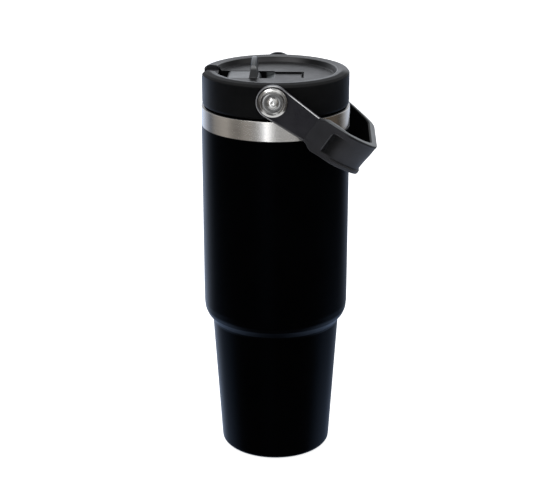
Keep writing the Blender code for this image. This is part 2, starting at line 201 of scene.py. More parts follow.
def settle(obj):
    """The object's modifiers made part of its mesh."""
    bpy.context.view_layer.update()
    seen = obj.evaluated_get(bpy.context.evaluated_depsgraph_get())
    mesh = bpy.data.meshes.new_from_object(seen)
    old = obj.data
    obj.modifiers.clear()
    obj.data = mesh
    mesh.name = obj.name
    bpy.data.meshes.remove(old)
    return obj


def cut(obj, parts, how="DIFFERENCE"):
    for bm, loc, rot in parts:
        other = put(bm, obj.name + "_tool", loc, rot)
        mod = obj.modifiers.new("cut", "BOOLEAN")
        mod.object, mod.operation, mod.solver = other, how, "EXACT"
        settle(obj)
        data = other.data
        bpy.data.objects.remove(other, do_unlink=True)
        bpy.data.meshes.remove(data)
    return obj


def soften(obj, width, segments=2, angle=38):
    """Rounds the edges that the cuts left sharp."""
    mod = obj.modifiers.new("soften", "BEVEL")
    mod.width, mod.segments, mod.limit_method = width * MM, segments, "ANGLE"
    mod.angle_limit = math.radians(angle)
    mod.use_clamp_overlap = True
    mod.miter_outer = "MITER_ARC"
    settle(obj)
    return obj


def done(obj, body, mat, slot, *nodes, sharp=34):
    """Shading, material and body of a finished piece; slot is not used."""
    mesh = obj.data
    bm = bmesh.new()
    bm.from_mesh(mesh)
    bmesh.ops.dissolve_degenerate(bm, dist=1e-8, edges=bm.edges[:])
    bm.to_mesh(mesh)
    bm.free()
    mesh.materials.clear()
    mesh.materials.append(mat)
    mesh.shade_smooth()
    mesh.set_sharp_from_angle(angle=math.radians(sharp))
    mod = obj.modifiers.new("weighted", "WEIGHTED_NORMAL")
    mod.keep_sharp, mod.weight = True, 60
    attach(obj, body)
    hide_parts(*nodes)
    return obj


# ------------------------------------------------------------------ material helpers
class Paint:
    """A node tree with short calls."""

    def __init__(self, name, metallic=0.0, specular=0.5, **sockets):
        self.mat = bpy.data.materials.new(name)
        self.mat.use_nodes = True
        self.tree = self.mat.node_tree
        self.shader = self.tree.nodes["Principled BSDF"]
        self.shader.inputs["Metallic"].default_value = metallic
        self.shader.inputs["Specular IOR Level"].default_value = specular
        for key, value in sockets.items():
            self.shader.inputs[key.replace("_", " ")].default_value = value
        self.coords = self.add("ShaderNodeTexCoord").outputs["Object"]

    def add(self, kind, **settings):
        node = self.tree.nodes.new(kind)
        for key, value in settings.items():
            setattr(node, key, value)
        return node

    def link(self, a, b):
        self.tree.links.new(a, b)

    def where(self):
        """The object coordinates in mm, as (x, y, z)."""
        split = self.add("ShaderNodeSeparateXYZ")
        self.link(self.coords, split.inputs[0])
        return [self.math("MULTIPLY", out, 1000.0) for out in split.outputs]

    def step(self, value, low_in, high_in):
        """0 below low_in and 1 above high_in, or the other way round, with an eased change."""
        node = self.add("ShaderNodeMapRange", interpolation_type="SMOOTHSTEP")
        flip = low_in > high_in
        self.put(node.inputs["Value"], value)
        node.inputs["From Min"].default_value, node.inputs["From Max"].default_value = sorted((low_in, high_in))
        node.inputs["To Min"].default_value, node.inputs["To Max"].default_value = (1.0, 0.0) if flip else (0.0, 1.0)
        return node.outputs[0]

    def put(self, socket, value):
        if isinstance(value, bpy.types.NodeSocket):
            self.link(value, socket)
        else:
            socket.default_value = value

    def math(self, how, a, b=0.0, clamp=False):
        node = self.add("ShaderNodeMath", operation=how, use_clamp=clamp)
        self.put(node.inputs[0], a)
        self.put(node.inputs[1], b)
        return node.outputs[0]

    def stretch(self, vector, scale, offset=(0, 0, 0)):
        node = self.add("ShaderNodeMapping")
        self.link(vector, node.inputs["Vector"])
        node.inputs["Scale"].default_value = scale
        node.inputs["Location"].default_value = offset
        return node.outputs[0]

    def noise(self, scale, detail=3.0, rough=0.55, vector=None, distort=0.0):
        node = self.add("ShaderNodeTexNoise")
        self.link(vector or self.coords, node.inputs["Vector"])
        for key, value in (("Scale", scale), ("Detail", detail), ("Roughness", rough), ("Distortion", distort)):
            node.inputs[key].default_value = value
        return node.outputs["Fac"]

    def cells(self, scale, feature="F1", vector=None, random=1.0):
        node = self.add("ShaderNodeTexVoronoi", feature=feature)
        self.link(vector or self.coords, node.inputs["Vector"])
        node.inputs["Scale"].default_value = scale
        node.inputs["Randomness"].default_value = random
        return node.outputs["Distance"]

    def ranged(self, value, low_in, high_in, low_out, high_out):
        node = self.add("ShaderNodeMapRange")
        self.put(node.inputs["Value"], value)
        for key, v in zip(("From Min", "From Max", "To Min", "To Max"), (low_in, high_in, low_out, high_out)):
            node.inputs[key].default_value = v
        return node.outputs[0]

    def ramp(self, value, stops):
        node = self.add("ShaderNodeValToRGB")
        self.link(value, node.inputs["Fac"])
        ramp = node.color_ramp
        while len(ramp.elements) < len(stops):
            ramp.elements.new(0.5)
        for element, (at, colour) in zip(ramp.elements, stops):
            element.position = at
            element.color = (*colour, 1.0)
        return node.outputs["Color"]

    def mix(self, fac, a, b):
        node = self.add("ShaderNodeMix", data_type="RGBA")
        self.put(node.inputs[0], fac)
        for socket, v in ((node.inputs[6], a), (node.inputs[7], b)):
            self.put(socket, v if isinstance(v, bpy.types.NodeSocket) else (*v, 1.0))
        return node.outputs[2]

    def colour(self, value):
        self.link(value, self.shader.inputs["Base Color"])
        return self

    def rough(self, value):
        self.link(value, self.shader.inputs["Roughness"])
        return self

    def bumps(self, *layers):
        """Each layer is (height, depth in mm)."""
        normal = None
        for height, depth in layers:
            node = self.add("ShaderNodeBump")
            node.inputs["Strength"].default_value = 1.0
            node.inputs["Distance"].default_value = depth * MM
            self.link(height, node.inputs["Height"])
            if normal is not None:
                self.link(normal, node.inputs["Normal"])
            normal = node.outputs["Normal"]
        self.link(normal, self.shader.inputs["Normal"])
        return self

    def round_coords(self, axis="Z", round_scale=1.0, along_scale=1.0, radius_scale=0.0):
        """Coordinates that run round an axis: (angle, height, radius), for turned or brushed metal."""
        split = self.add("ShaderNodeSeparateXYZ")
        self.link(self.coords, split.inputs[0])
        x, y, z = split.outputs
        u, v, w = {"Z": (x, y, z), "Y": (z, x, y)}[axis]
        angle = self.math("MULTIPLY", self.math("ARCTAN2", v, u), round_scale)
        radius = self.math("SQRT", self.math("ADD", self.math("MULTIPLY", u, u), self.math("MULTIPLY", v, v)))
        join = self.add("ShaderNodeCombineXYZ")
        self.link(angle, join.inputs[0])
        self.link(self.math("MULTIPLY", w, along_scale), join.inputs[1])
        self.link(self.math("MULTIPLY", radius, radius_scale), join.inputs[2])
        return join.outputs[0]

    def tangent(self, axis):
        node = self.add("ShaderNodeTangent", direction_type="RADIAL", axis=axis)
        self.link(node.outputs[0], self.shader.inputs["Tangent"])
        return self


def plastic(name, dark, light, rough, specular=0.5, grain=3200, grain_depth=0.012, mottle=60, **sockets):
    """Moulded plastic: slow colour drift, a spark-eroded grain, and faint handling marks in the gloss."""
    p = Paint(name, specular=specular, **sockets)
    drift = p.noise(mottle, 4, 0.6)
    fine = p.noise(grain, 2, 0.6)
    p.colour(p.ramp(p.math("ADD", p.math("MULTIPLY", drift, 0.75), p.math("MULTIPLY", fine, 0.25)),
                    [(0.35, dark), (0.65, light)]))
    marks = p.noise(240, 5, 0.7, vector=p.stretch(p.coords, (1.0, 1.0, 0.35)))
    p.rough(p.ranged(p.math("ADD", p.math("MULTIPLY", drift, 0.5), p.math("MULTIPLY", marks, 0.5)), 0.35, 0.65, *rough))
    p.bumps((p.cells(grain, "SMOOTH_F1"), grain_depth), (fine, grain_depth * 0.8), (drift, 0.02))
    return p


def metal(name, colour, warm, rough, axis="Z", aniso=0.6, line_scale=9000.0, depth=0.004, radius_scale=0.0,
          spin=0.0):
    """Metal with fine lines that run round an axis."""
    p = Paint(name, metallic=1.0, Anisotropic=aniso, Anisotropic_Rotation=spin)
    p.tangent(axis)
    lines = p.noise(1.0, 3, 0.7, vector=p.round_coords(axis, 5.0, line_scale, radius_scale))
    broad = p.noise(1.0, 2, 0.5, vector=p.round_coords(axis, 2.2, line_scale * 0.12, radius_scale * 0.12))
    streak = p.noise(1.0, 3, 0.6, vector=p.round_coords(axis, 9.0, 6.0))
    tone = p.math("ADD", p.math("MULTIPLY", lines, 0.55), p.math("MULTIPLY", broad, 0.45))
    p.colour(p.mix(streak, p.ramp(tone, [(0.3, [c * 0.86 for c in colour]), (0.7, colour)]),
                   p.ramp(tone, [(0.3, [c * 0.86 for c in warm]), (0.7, warm)])))
    p.rough(p.ranged(p.math("ADD", p.math("MULTIPLY", lines, 0.6), p.math("MULTIPLY", streak, 0.4)), 0.3, 0.7, *rough))
    p.bumps((lines, depth), (broad, depth * 1.5))
    return p


# ------------------------------------------------------------------ materials
coat = Paint("powder_coat", specular=0.12)
peel = coat.noise(1500, 3, 0.55)
speck = coat.noise(5200, 2, 0.6)
slow = coat.noise(22, 4, 0.6)
coat.colour(coat.ramp(coat.math("ADD", coat.math("MULTIPLY", slow, 0.7), coat.math("MULTIPLY", peel, 0.3)),
                      [(0.35, (0.0001, 0.0001, 0.0002)), (0.65, (0.0002, 0.0003, 0.0006))]))
coat.rough(coat.ranged(coat.math("ADD", coat.math("MULTIPLY", slow, 0.6), coat.math("MULTIPLY", speck, 0.4)),
                       0.35, 0.65, 0.27, 0.34))
coat.bumps((peel, 0.014), (speck, 0.006))

collar = metal("brushed_collar", (0.86, 0.85, 0.83), (0.90, 0.87, 0.83), (0.15, 0.23), aniso=0.70, line_scale=5200,
               depth=0.0022)
x, y, z = collar.where()
shade = collar.shader.inputs["Base Color"].links[0].from_socket
# Painted shade: towards -X the collar turns a darker warm grey, to dim its reflection on that side.
shade = collar.mix(collar.step(x, -35.0, -42.0), shade, (0.56, 0.51, 0.45))
# Painted shadow: above 228.75 mm the collar's top edge is near black, as the lid's shadow.
collar.colour(collar.mix(collar.step(z, 228.5, 228.75), shade, (0.035, 0.035, 0.036)))
inside = metal("liner_steel", (0.56, 0.56, 0.56), (0.60, 0.60, 0.60), (0.26, 0.40), aniso=0.4, line_scale=1500,
               depth=0.004)
base_metal = metal("base_steel", (0.42, 0.42, 0.43), (0.47, 0.47, 0.47), (0.30, 0.46), aniso=0.5, line_scale=300,
                   radius_scale=3800, depth=0.006)
screw_metal = metal("screw_steel", (0.84, 0.84, 0.83), (0.90, 0.89, 0.87), (0.12, 0.22), axis="Y", aniso=0.25,
                    line_scale=500, radius_scale=5200, depth=0.004)
# Painted reflection on the screw head: the outer ring is shaded dark except a bright top and bottom arc, the dish is
# darker and the centre boss a little dimmer.
x, y, z = screw_metal.where()
lower = screw_metal.math("ADD", z, 0.50)
r = screw_metal.math("SQRT", screw_metal.math("ADD", screw_metal.math("MULTIPLY", x, x), screw_metal.math("MULTIPLY", lower, lower)))
dish = screw_metal.math("MULTIPLY", screw_metal.step(r, 3.15, 3.4), screw_metal.step(r, 7.0, 6.75))
bright = screw_metal.shader.inputs["Base Color"].links[0].from_socket
upper = screw_metal.step(z, -1.0, 1.0)
side_shade = screw_metal.math("ADD", screw_metal.math("MULTIPLY", upper, screw_metal.step(screw_metal.math("ABSOLUTE", x), 2.5, 6.0)),
                         screw_metal.math("MULTIPLY", screw_metal.math("SUBTRACT", 1.0, upper),
                                          screw_metal.step(screw_metal.math("ABSOLUTE", z), 5.6, 3.4)))
side_shade = screw_metal.math("MULTIPLY", screw_metal.step(r, 6.3, 6.6), side_shade)
bright = screw_metal.mix(side_shade, bright, (0.26, 0.26, 0.257))
bright = screw_metal.mix(screw_metal.step(r, 3.4, 3.1), bright, (0.68, 0.68, 0.67))
screw_metal.colour(screw_metal.mix(dish, bright, (0.18, 0.18, 0.177)))

pin_metal = metal("pin_steel", (0.56, 0.56, 0.56), (0.62, 0.62, 0.62), (0.2, 0.3), axis="Y", aniso=0.3,
                  line_scale=6000, depth=0.003)
brass = metal("insert_brass", (0.50, 0.37, 0.16), (0.58, 0.45, 0.22), (0.25, 0.4), axis="Y", aniso=0.3,
              line_scale=5200, depth=0.006)

solder = Paint("solder", metallic=1.0)
lump = solder.noise(420, 4, 0.6)
solder.colour(solder.ramp(lump, [(0.35, (0.24, 0.24, 0.26)), (0.65, (0.36, 0.36, 0.38))]))
solder.rough(solder.ranged(lump, 0.3, 0.7, 0.38, 0.6)).bumps((lump, 0.06), (solder.cells(900), 0.02))

getter_metal = Paint("getter_metal", metallic=1.0)
grit = getter_metal.noise(2600, 4, 0.7)
getter_metal.colour(getter_metal.ramp(grit, [(0.35, (0.22, 0.20, 0.18)), (0.65, (0.36, 0.33, 0.30))]))
getter_metal.rough(getter_metal.ranged(grit, 0.3, 0.7, 0.5, 0.8)).bumps((grit, 0.05))

lid_plastic = plastic("lid_plastic", (0.0024, 0.0024, 0.0027), (0.0044, 0.0044, 0.0048), (0.37, 0.46), specular=0.36,
                      grain=2600, grain_depth=0.010)
x, y, z = lid_plastic.where()
r = lid_plastic.math("SQRT", lid_plastic.math("ADD", lid_plastic.math("MULTIPLY", x, x), lid_plastic.math("MULTIPLY", y, y)))
shade = lid_plastic.shader.inputs["Base Color"].links[0].from_socket
# Painted light: the far wall of the slot beside the fin is lightened, as if lit.
slot_end_light = lid_plastic.math("MULTIPLY", lid_plastic.math("MULTIPLY", lid_plastic.step(x, -6.6, -5.0), lid_plastic.step(x, -0.2, -0.8)),
                            lid_plastic.math("MULTIPLY", lid_plastic.step(z, 240.5, 242.5), lid_plastic.step(z, 246.6, 246.0)))
slot_end_light = lid_plastic.math("MULTIPLY", slot_end_light, lid_plastic.step(lid_plastic.math("ABSOLUTE", y), 10.9, 10.5))
shade = lid_plastic.mix(slot_end_light, shade, (0.15, 0.165, 0.17))
# Painted highlight: a light line along the rim's inner top edge.
lip = lid_plastic.math("MULTIPLY", lid_plastic.step(r, 37.2, 37.5), lid_plastic.step(r, 38.3, 37.9))
lip = lid_plastic.math("MULTIPLY", lip, lid_plastic.step(z, 250.1, 250.5))
shade = lid_plastic.mix(lip, shade, (0.16, 0.165, 0.17))
# Painted light and shade on the rim's far inner wall: lighter across its middle, near black to either side.
wall = lid_plastic.math("MULTIPLY", lid_plastic.step(r, 37.4, 37.2), lid_plastic.step(z, 247.3, 248.0))
wall = lid_plastic.math("MULTIPLY", wall, lid_plastic.step(y, 10.0, 24.0))
near = lid_plastic.math("MULTIPLY", lid_plastic.step(x, 22.0, 8.0), lid_plastic.step(x, -20.0, -10.0))
shade = lid_plastic.mix(wall, shade, lid_plastic.mix(near, (0.005, 0.005, 0.0055), (0.064, 0.063, 0.068)))
# Painted light: the floor of the notch at -X is lightened.
notch_light = lid_plastic.math("MULTIPLY", lid_plastic.step(x, -35.6, -36.2), lid_plastic.step(z, 245.2, 245.7))
notch_light = lid_plastic.math("MULTIPLY", notch_light, lid_plastic.step(lid_plastic.math("ABSOLUTE", y), 8.7, 8.3))
shade = lid_plastic.mix(notch_light, shade, (0.055, 0.055, 0.060))
# Painted light: the end wall of the tray at +X is lightened.
tray_end_light = lid_plastic.math("MULTIPLY", lid_plastic.step(x, 15.7, 15.95), lid_plastic.step(x, 17.7, 17.4))
tray_end_light = lid_plastic.math("MULTIPLY", tray_end_light, lid_plastic.step(lid_plastic.math("ABSOLUTE", y), 8.8, 8.4))
lid_plastic.colour(lid_plastic.mix(lid_plastic.math("MULTIPLY", tray_end_light, lid_plastic.step(z, 246.7, 246.4)), shade,
                                   (0.13, 0.135, 0.14)))
crown = lid_plastic.math("MULTIPLY", lid_plastic.step(r, 40.2, 41.4), lid_plastic.step(z, 248.6, 249.2))
crown = lid_plastic.math("MULTIPLY", crown, lid_plastic.step(y, 0.0, -14.0))
smooth = lid_plastic.shader.inputs["Roughness"].links[0].from_socket
lid_plastic.rough(lid_plastic.math("ADD", smooth, lid_plastic.math("MULTIPLY", crown, 0.30), clamp=True))
plug_plastic = plastic("plug_plastic", (0.040, 0.040, 0.044), (0.056, 0.056, 0.061), (0.40, 0.55), grain=2200)
spout_plastic = plastic("spout_plastic", (0.055, 0.060, 0.064), (0.075, 0.081, 0.086), (0.30, 0.40), grain=3000,
                        grain_depth=0.006)
x, y, z = spout_plastic.where()
shade = spout_plastic.shader.inputs["Base Color"].links[0].from_socket
# Painted highlight: the top of the fin is lightened.
fin = spout_plastic.math("MULTIPLY", spout_plastic.step(z, 3.0, 4.5), spout_plastic.math(
    "MULTIPLY", spout_plastic.step(x, -1.3, -0.2), spout_plastic.step(x, 1.9, 1.2)))
shade = spout_plastic.mix(spout_plastic.math("MULTIPLY", fin, 0.3), shade, (0.19, 0.20, 0.21))
# Painted light on the fin's end faces: lighter than the rest low down, with a bright painted highlight along their top.
facing = spout_plastic.add("ShaderNodeSeparateXYZ")
spout_plastic.link(spout_plastic.coords.node.outputs["Normal"], facing.inputs[0])
end_face = spout_plastic.math("MULTIPLY", spout_plastic.step(spout_plastic.math("ABSOLUTE", facing.outputs[1]), 0.75, 0.95),
                              spout_plastic.step(z, 2.5, 4.0))
spout_plastic.colour(spout_plastic.mix(end_face, shade, spout_plastic.mix(
    spout_plastic.step(z, 8.6, 10.6), (0.13, 0.135, 0.14), (0.55, 0.56, 0.57))))
straw_plastic = plastic("straw_plastic", (0.085, 0.085, 0.093), (0.11, 0.11, 0.12), (0.24, 0.34), grain=1800,
                        grain_depth=0.004, mottle=90)
silicone = plastic("silicone", (0.014, 0.014, 0.016), (0.022, 0.022, 0.025), (0.62, 0.78), specular=0.35, grain=2400,
                   grain_depth=0.010)
nylon = plastic("washer_nylon", (0.030, 0.030, 0.031), (0.044, 0.044, 0.045), (0.42, 0.55), grain=2600,
                grain_depth=0.006)

bail = Paint("bail_plastic", specular=0.5)
hide_cells = bail.cells(900, "SMOOTH_F1")
hide_fine = bail.noise(1900, 3, 0.6)
drift = bail.noise(85, 4, 0.6)
bail.colour(bail.ramp(bail.math("ADD", bail.math("MULTIPLY", drift, 0.6), bail.math("MULTIPLY", hide_fine, 0.4)),
                      [(0.35, (0.013, 0.0125, 0.0155)), (0.65, (0.024, 0.023, 0.028))]))
x, y, z = bail.where()
# Painted highlight on the arm's raised bead: light along its upper side, dark along its lower side, mid grey round the
# eye, and a bright painted glint at the eye's top.
bead = bail.step(bail.math("ABSOLUTE", y), 49.2, 49.38)
plain = bail.shader.inputs["Base Color"].links[0].from_socket
rise = bail.math("ADD", bail.math("MULTIPLY", x, -math.sin(TILT)), bail.math("MULTIPLY", z, math.cos(TILT)))
crown = bail.math("MULTIPLY", bail.step(rise, 8.4, 9.6), bail.step(x, 1.5, -0.5))
edge = bail.mix(bail.step(z, -1.0, 1.0), (0.07, 0.07, 0.073), (0.62, 0.62, 0.63))
edge = bail.mix(bail.step(x, 3.0, 8.0), (0.24, 0.24, 0.25), edge)
bail.colour(bail.mix(bead, plain, bail.mix(crown, edge, (0.75, 0.75, 0.75))))
bail.rough(bail.ranged(bail.math("ADD", bail.math("MULTIPLY", drift, 0.5), bail.math("MULTIPLY", hide_fine, 0.5)),
                       0.35, 0.65, 0.24, 0.42))
bail.bumps((hide_cells, 0.035), (hide_fine, 0.02))

grip_rubber = Paint("grip_rubber", specular=0.42, Sheen_Weight=0.12, Sheen_Roughness=0.5)
drift = grip_rubber.noise(70, 4, 0.6)
nap = grip_rubber.noise(3600, 3, 0.65)
x, y, z = grip_rubber.where()
rub = grip_rubber.noise(160, 5, 0.7, vector=grip_rubber.stretch(grip_rubber.coords, (0.6, 0.6, 1.4)))
grip_rubber.colour(grip_rubber.ramp(
    grip_rubber.math("ADD", grip_rubber.math("MULTIPLY", drift, 0.6), grip_rubber.math("MULTIPLY", nap, 0.4)),
    [(0.35, (0.0125, 0.0125, 0.0155)), (0.65, (0.021, 0.021, 0.026))]))
plain = grip_rubber.shader.inputs["Base Color"].links[0].from_socket
on_side = grip_rubber.step(grip_rubber.math("ABSOLUTE", y), 42.0, 43.5)
# Painted shade: the thumb scoop, the groove above the lower lip and the trough under the upper crest are darkened.
hollow_shade = grip_rubber.math("MULTIPLY", grip_rubber.math("MULTIPLY", grip_rubber.step(x, 39.7, 40.7), grip_rubber.step(x, 50.0, 43.5)),
                          grip_rubber.math("MULTIPLY", grip_rubber.step(z, -8.8, -7.9), grip_rubber.step(z, 5.8, 5.0)))
hollow_shade = grip_rubber.math("MULTIPLY", hollow_shade, on_side)
groove_shade = grip_rubber.math("MULTIPLY", grip_rubber.math("MULTIPLY", grip_rubber.step(z, -9.75, -9.4), grip_rubber.step(z, -8.2, -8.7)),
                          grip_rubber.step(x, 42.0, 53.0))
# Painted highlight: a light line along the grip's upper crest.
crest = grip_rubber.step(z, 9.2, 9.33)
trough_shade = grip_rubber.math("MULTIPLY", grip_rubber.math("MULTIPLY", grip_rubber.step(z, 7.7, 8.1), grip_rubber.step(z, 9.22, 9.1)),
                          grip_rubber.step(x, 44.0, 52.0))
trough_shade = grip_rubber.math("MULTIPLY", trough_shade, grip_rubber.step(y, 20.0, 0.0))
shade = grip_rubber.mix(grip_rubber.math("MULTIPLY", hollow_shade, 0.95), plain, (0.0015, 0.0015, 0.002))
shade = grip_rubber.mix(grip_rubber.math("MULTIPLY", groove_shade, 0.95), shade, (0.002, 0.002, 0.0025))
shade = grip_rubber.mix(grip_rubber.math("MULTIPLY", trough_shade, 0.9), shade, (0.002, 0.002, 0.0025))
shade = grip_rubber.mix(grip_rubber.math("MULTIPLY", crest, 0.85), shade, (0.14, 0.15, 0.155))
# Painted shade: the grip's inner face, turned towards the mug, is made near black.
outward = grip_rubber.add("ShaderNodeVectorMath", operation="DOT_PRODUCT")
flat = grip_rubber.add("ShaderNodeVectorMath", operation="MULTIPLY")
flat.inputs[1].default_value = (1, 1, 0)
grip_rubber.link(grip_rubber.coords, flat.inputs[0])
grip_rubber.link(grip_rubber.coords.node.outputs["Normal"], outward.inputs[0])
grip_rubber.link(flat.outputs[0], outward.inputs[1])
within = grip_rubber.step(outward.outputs["Value"], -0.012, -0.030)
grip_rubber.colour(grip_rubber.mix(grip_rubber.math("MULTIPLY", within, 0.9), shade, (0.002, 0.002, 0.0025)))
grip_rubber.rough(grip_rubber.ranged(
    grip_rubber.math("ADD", grip_rubber.math("MULTIPLY", rub, 0.6), grip_rubber.math("MULTIPLY", nap, 0.4)),
    0.35, 0.65, 0.46, 0.60))
dull = grip_rubber.shader.inputs["Roughness"].links[0].from_socket
grip_rubber.rough(grip_rubber.math("ADD", dull, grip_rubber.math("MULTIPLY", within, 0.38), clamp=True))
grip_rubber.bumps((nap, 0.016), (drift, 0.03))

# Painted shade: a near-black finish without gloss for the strip that darkens the grip's inner face.
grip_lining = plastic("grip_lining", (0.0024, 0.0024, 0.0028), (0.0040, 0.0040, 0.0046), (0.75, 0.92), specular=0.0,
                      grain=2400, grain_depth=0.012)

# ------------------------------------------------------------------ mug body
COAT_TOP = top("neck_band") - 12.64
shell = put(turned([
    (32.4, 0.4, 0.3), (34.3, 0.9, 0.8), (35.25, 2.0, 1.6), (35.5, 4.2, 4), (40.65, 87.0, 1.6), (41.0, 88.5, 1.5),
    (44.3, 92.9, 3), (45.55, 95.9, 6), (45.93, 100.0, 10), (46.0, 114, 40), (46.0, COAT_TOP - 0.3, 0.25),
    (45.75, COAT_TOP, 0.2), (45.1, COAT_TOP), (45.1, 120), (44.95, 99.2, 8), (44.5, 96.2, 6), (43.2, 92.6, 5),
    (41.5, 90.4, 3), (39.85, 87.9, 2), (39.55, 85.8, 2), (34.6, 5.0, 0.8), (34.0, 4.4, 0.4), (1.2, 4.4), (1.2, 3.4),
    (29.2, 3.4, 0.6), (30.6, 0.9, 0.6)], SEG, steps=5), "outer_shell_skin")
done(shell, "mug_body", coat.mat, "body_coat", "outer_shell", sharp=28)

band = put(turned([
    (45.9, 216.7, 0.05), (45.9, 228.55, 0.2), (45.45, 229.0, 0.3), (44.7, 229.3, 0.5), (43.1, 229.3, 0.5),
    (42.35, 228.95, 0.4), (42.0, 228.2, 0.5), (42.0, 227.25, 0.1), (45.0, 227.2, 0.1), (45.0, 216.7)], 256),
    "neck_band_skin")
done(band, "mug_body", collar.mat, "brushed_collar", "neck_band", sharp=28)

lining = put(turned([
    (0, 7.4), (28.2, 7.4, 2.5), (30.6, 8.4, 2.0), (31.6, 11.4, 3), (36.3, 84.0, 4), (37.3, 87.0, 6), (40.7, 97.0, 8),
    (41.8, 101.6, 10), (41.8, 226.9, 0.2), (42.7, 226.9, 0.2), (42.7, 101.4, 10), (41.6, 96.8, 8), (38.2, 86.6, 6),
    (37.2, 83.8, 4), (32.5, 11.0, 3), (31.4, 7.9, 1.5), (28.4, 6.5, 2), (0, 6.5)], SEG), "inner_liner_skin")
cut(lining, [(ridge(42.15, 40.3, 209.0, 1.3, 0.7), (0, 0, 0), 0)], "UNION")
done(lining, "mug_body", inside.mat, "liner_steel", "inner_liner", sharp=30)

base = put(turned([
    (0, 0.35), (19.5, 0.35, 0.6), (20.3, 0.0, 0.5), (27.2, 0.0, 0.6), (28.5, 0.45, 0.7), (28.9, 1.3, 0.5),
    (28.9, 2.2, 0.1), (28.1, 2.2, 0.1), (27.5, 1.4, 0.4), (0, 1.4)], SEG), "base_plate_skin")
done(base, "mug_body", base_metal.mat, "base_steel", "base_plate", sharp=28)
bead = put(turned([(0, 1.7), (2.5, 1.75, 0.6), (3.2, 2.4, 0.6), (2.8, 3.05, 0.2), (0, 3.05)], 48), "vacuum_seal_skin")
done(bead, "mug_body", solder.mat, "solder", "vacuum_seal")
getter = put(turned([(0, 4.85), (5.2, 4.85), (5.6, 5.1), (6.6, 4.8, 0.2), (7.0, 5.2, 0.2), (7.0, 5.8, 0.2),
                     (6.6, 6.15, 0.2), (0, 6.15)], 64), "getter_skin", (15, 0, 0))
done(getter, "mug_body", getter_metal.mat, "getter_metal", "getter")

# ------------------------------------------------------------------ lid
gasket = put(turned([(42.15, 229.6, 0.3), (42.8, 229.72, 0.2), (43.4, 229.6, 0.3), (43.6, 230.2, 0.3), (43.6, 231.2, 0.3),
                     (43.35, 231.6, 0.3), (42.8, 231.45, 0.2), (42.2, 231.6, 0.3)], SEG), "lid_gasket_skin")
done(gasket, "gasket", silicone.mat, "silicone", "lid_gasket")

WELL = (-35.5, -0.8, 10.3, 237.4)
lid = put(turned([
    (35.3, 247.0), (36.05, 247.7, 0.9), (37.5, 250.4, 0.5), (37.9, 250.75, 0.4), (41.7, 251.15, 1.6),
    (44.3, 250.4, 1.2), (45.4, 249.1, 0.9), (45.4, 231.5, 1.0), (45.2, 230.55, 0.7),
    (44.85, 230.0, 0.4), (44.1, 230.1, 0.2), (44.1, 234.7), (42.0, 234.7), (42.0, 243.4), (41.6, 243.8)],
    256, closed=False, capped=True), "lid_housing_skin")
x0, x1, half, floor_z = WELL
cut(lid, [
    (box(x0 - 1.6, x1 + 1.6, -half - 1.6, half + 1.6, floor_z - 2.0, 246.0, 2.0), (0, 0, 0), 0),
    (box(SPOUT.x - 3.2, SPOUT.x + 3.2, -14.2, 14.2, 239.6, 245.9), (0, 0, 0), 0),
    (box(-6.6, 6.6, -42.9, -35.4, 234.95, 245.8, 2.0, "Y"), (0, 0, 0), 0),
    (box(-6.6, 6.6, 35.4, 42.9, 234.95, 245.8, 2.0, "Y"), (0, 0, 0), 0),
], "UNION")
cut(lid, [
    (prism([(x0, floor_z), (-8.7, floor_z), (-8.7, 241.7), (x1, 245.3), (x1, 256), (x0, 256)], -half, half),
     (0, 0, 0), 0),
    (turned([(0, 230), (3.0, 230), (3.0, 236.6), (5.3, 236.6), (5.3, 240), (0, 240)], 48), (SPOUT.x, 0, 0), 0),
    (turned([(0, 230), (1.0, 230), (1.0, 240), (0, 240)], 24), (-27, 4, 0), 0),
    (turned([(0, -13.5), (1.5, -13.5), (1.5, 13.5), (0, 13.5)], 32, axis="Y"), tuple(SPOUT), 0),
    (box(x1 - 0.6, 17.3, -8.5, 8.5, 245.95, 256, 0.5), (0, 0, 0), 0),
    (box(15.9, 17.3, -8.5, 8.5, 244.3, 246.2), (0, 0, 0), 0),
    (prism([(-34.0, 256.0), (-34.0, 248.0), (-42.6, 248.0), (-45.6, 245.9), (-50.0, 245.9), (-50.0, 256.0)],
           -8.5, 8.5), (0, 0, 0), 0),
    (turned([(0, -50), (4.5, -50), (4.5, -36.9), (0, -36.9)], 48, axis="Y"), tuple(PIVOT), 0),
    (turned([(0, 36.9), (4.5, 36.9), (4.5, 50), (0, 50)], 48, axis="Y"), tuple(PIVOT), 0),
])
soften(lid, 0.22, 2)
done(lid, "lid", lid_plastic.mat, "lid_plastic", "lid_housing", sharp=32)

plug = put(turned([
    (0, 203.0), (38.6, 203.0, 0.8), (39.8, 204.2, 0.8), (39.8, 222.0, 0.6), (41.3, 223.5, 0.6), (41.3, 231.9, 0.2),
    (43.8, 231.9, 0.2), (43.8, 234.4, 0.2), (37.8, 234.4, 0.2), (37.8, 205.4, 0.8), (0, 205.4)], SEG), "lid_plug_skin")
cut(plug, [(ridge(39.3, 41.4, 206.0, 1.3, 0.7), (0, 0, 0), 0),
           (turned([(0, 203.6), (7.0, 203.6), (7.0, 235.1), (0, 235.1)], 64), (SPOUT.x, 0, 0), 0)], "UNION")
cut(plug, [(turned([(0, 199), (5.0, 199), (5.0, 240), (0, 240)], 48), (SPOUT.x, 0, 0), 0),
           (turned([(0, 199), (1.5, 199), (1.5, 208), (0, 208)], 32), (16, 0, 0), 0)])
done(plug, "lid", plug_plastic.mat, "plug_plastic", "lid_plug", sharp=32)

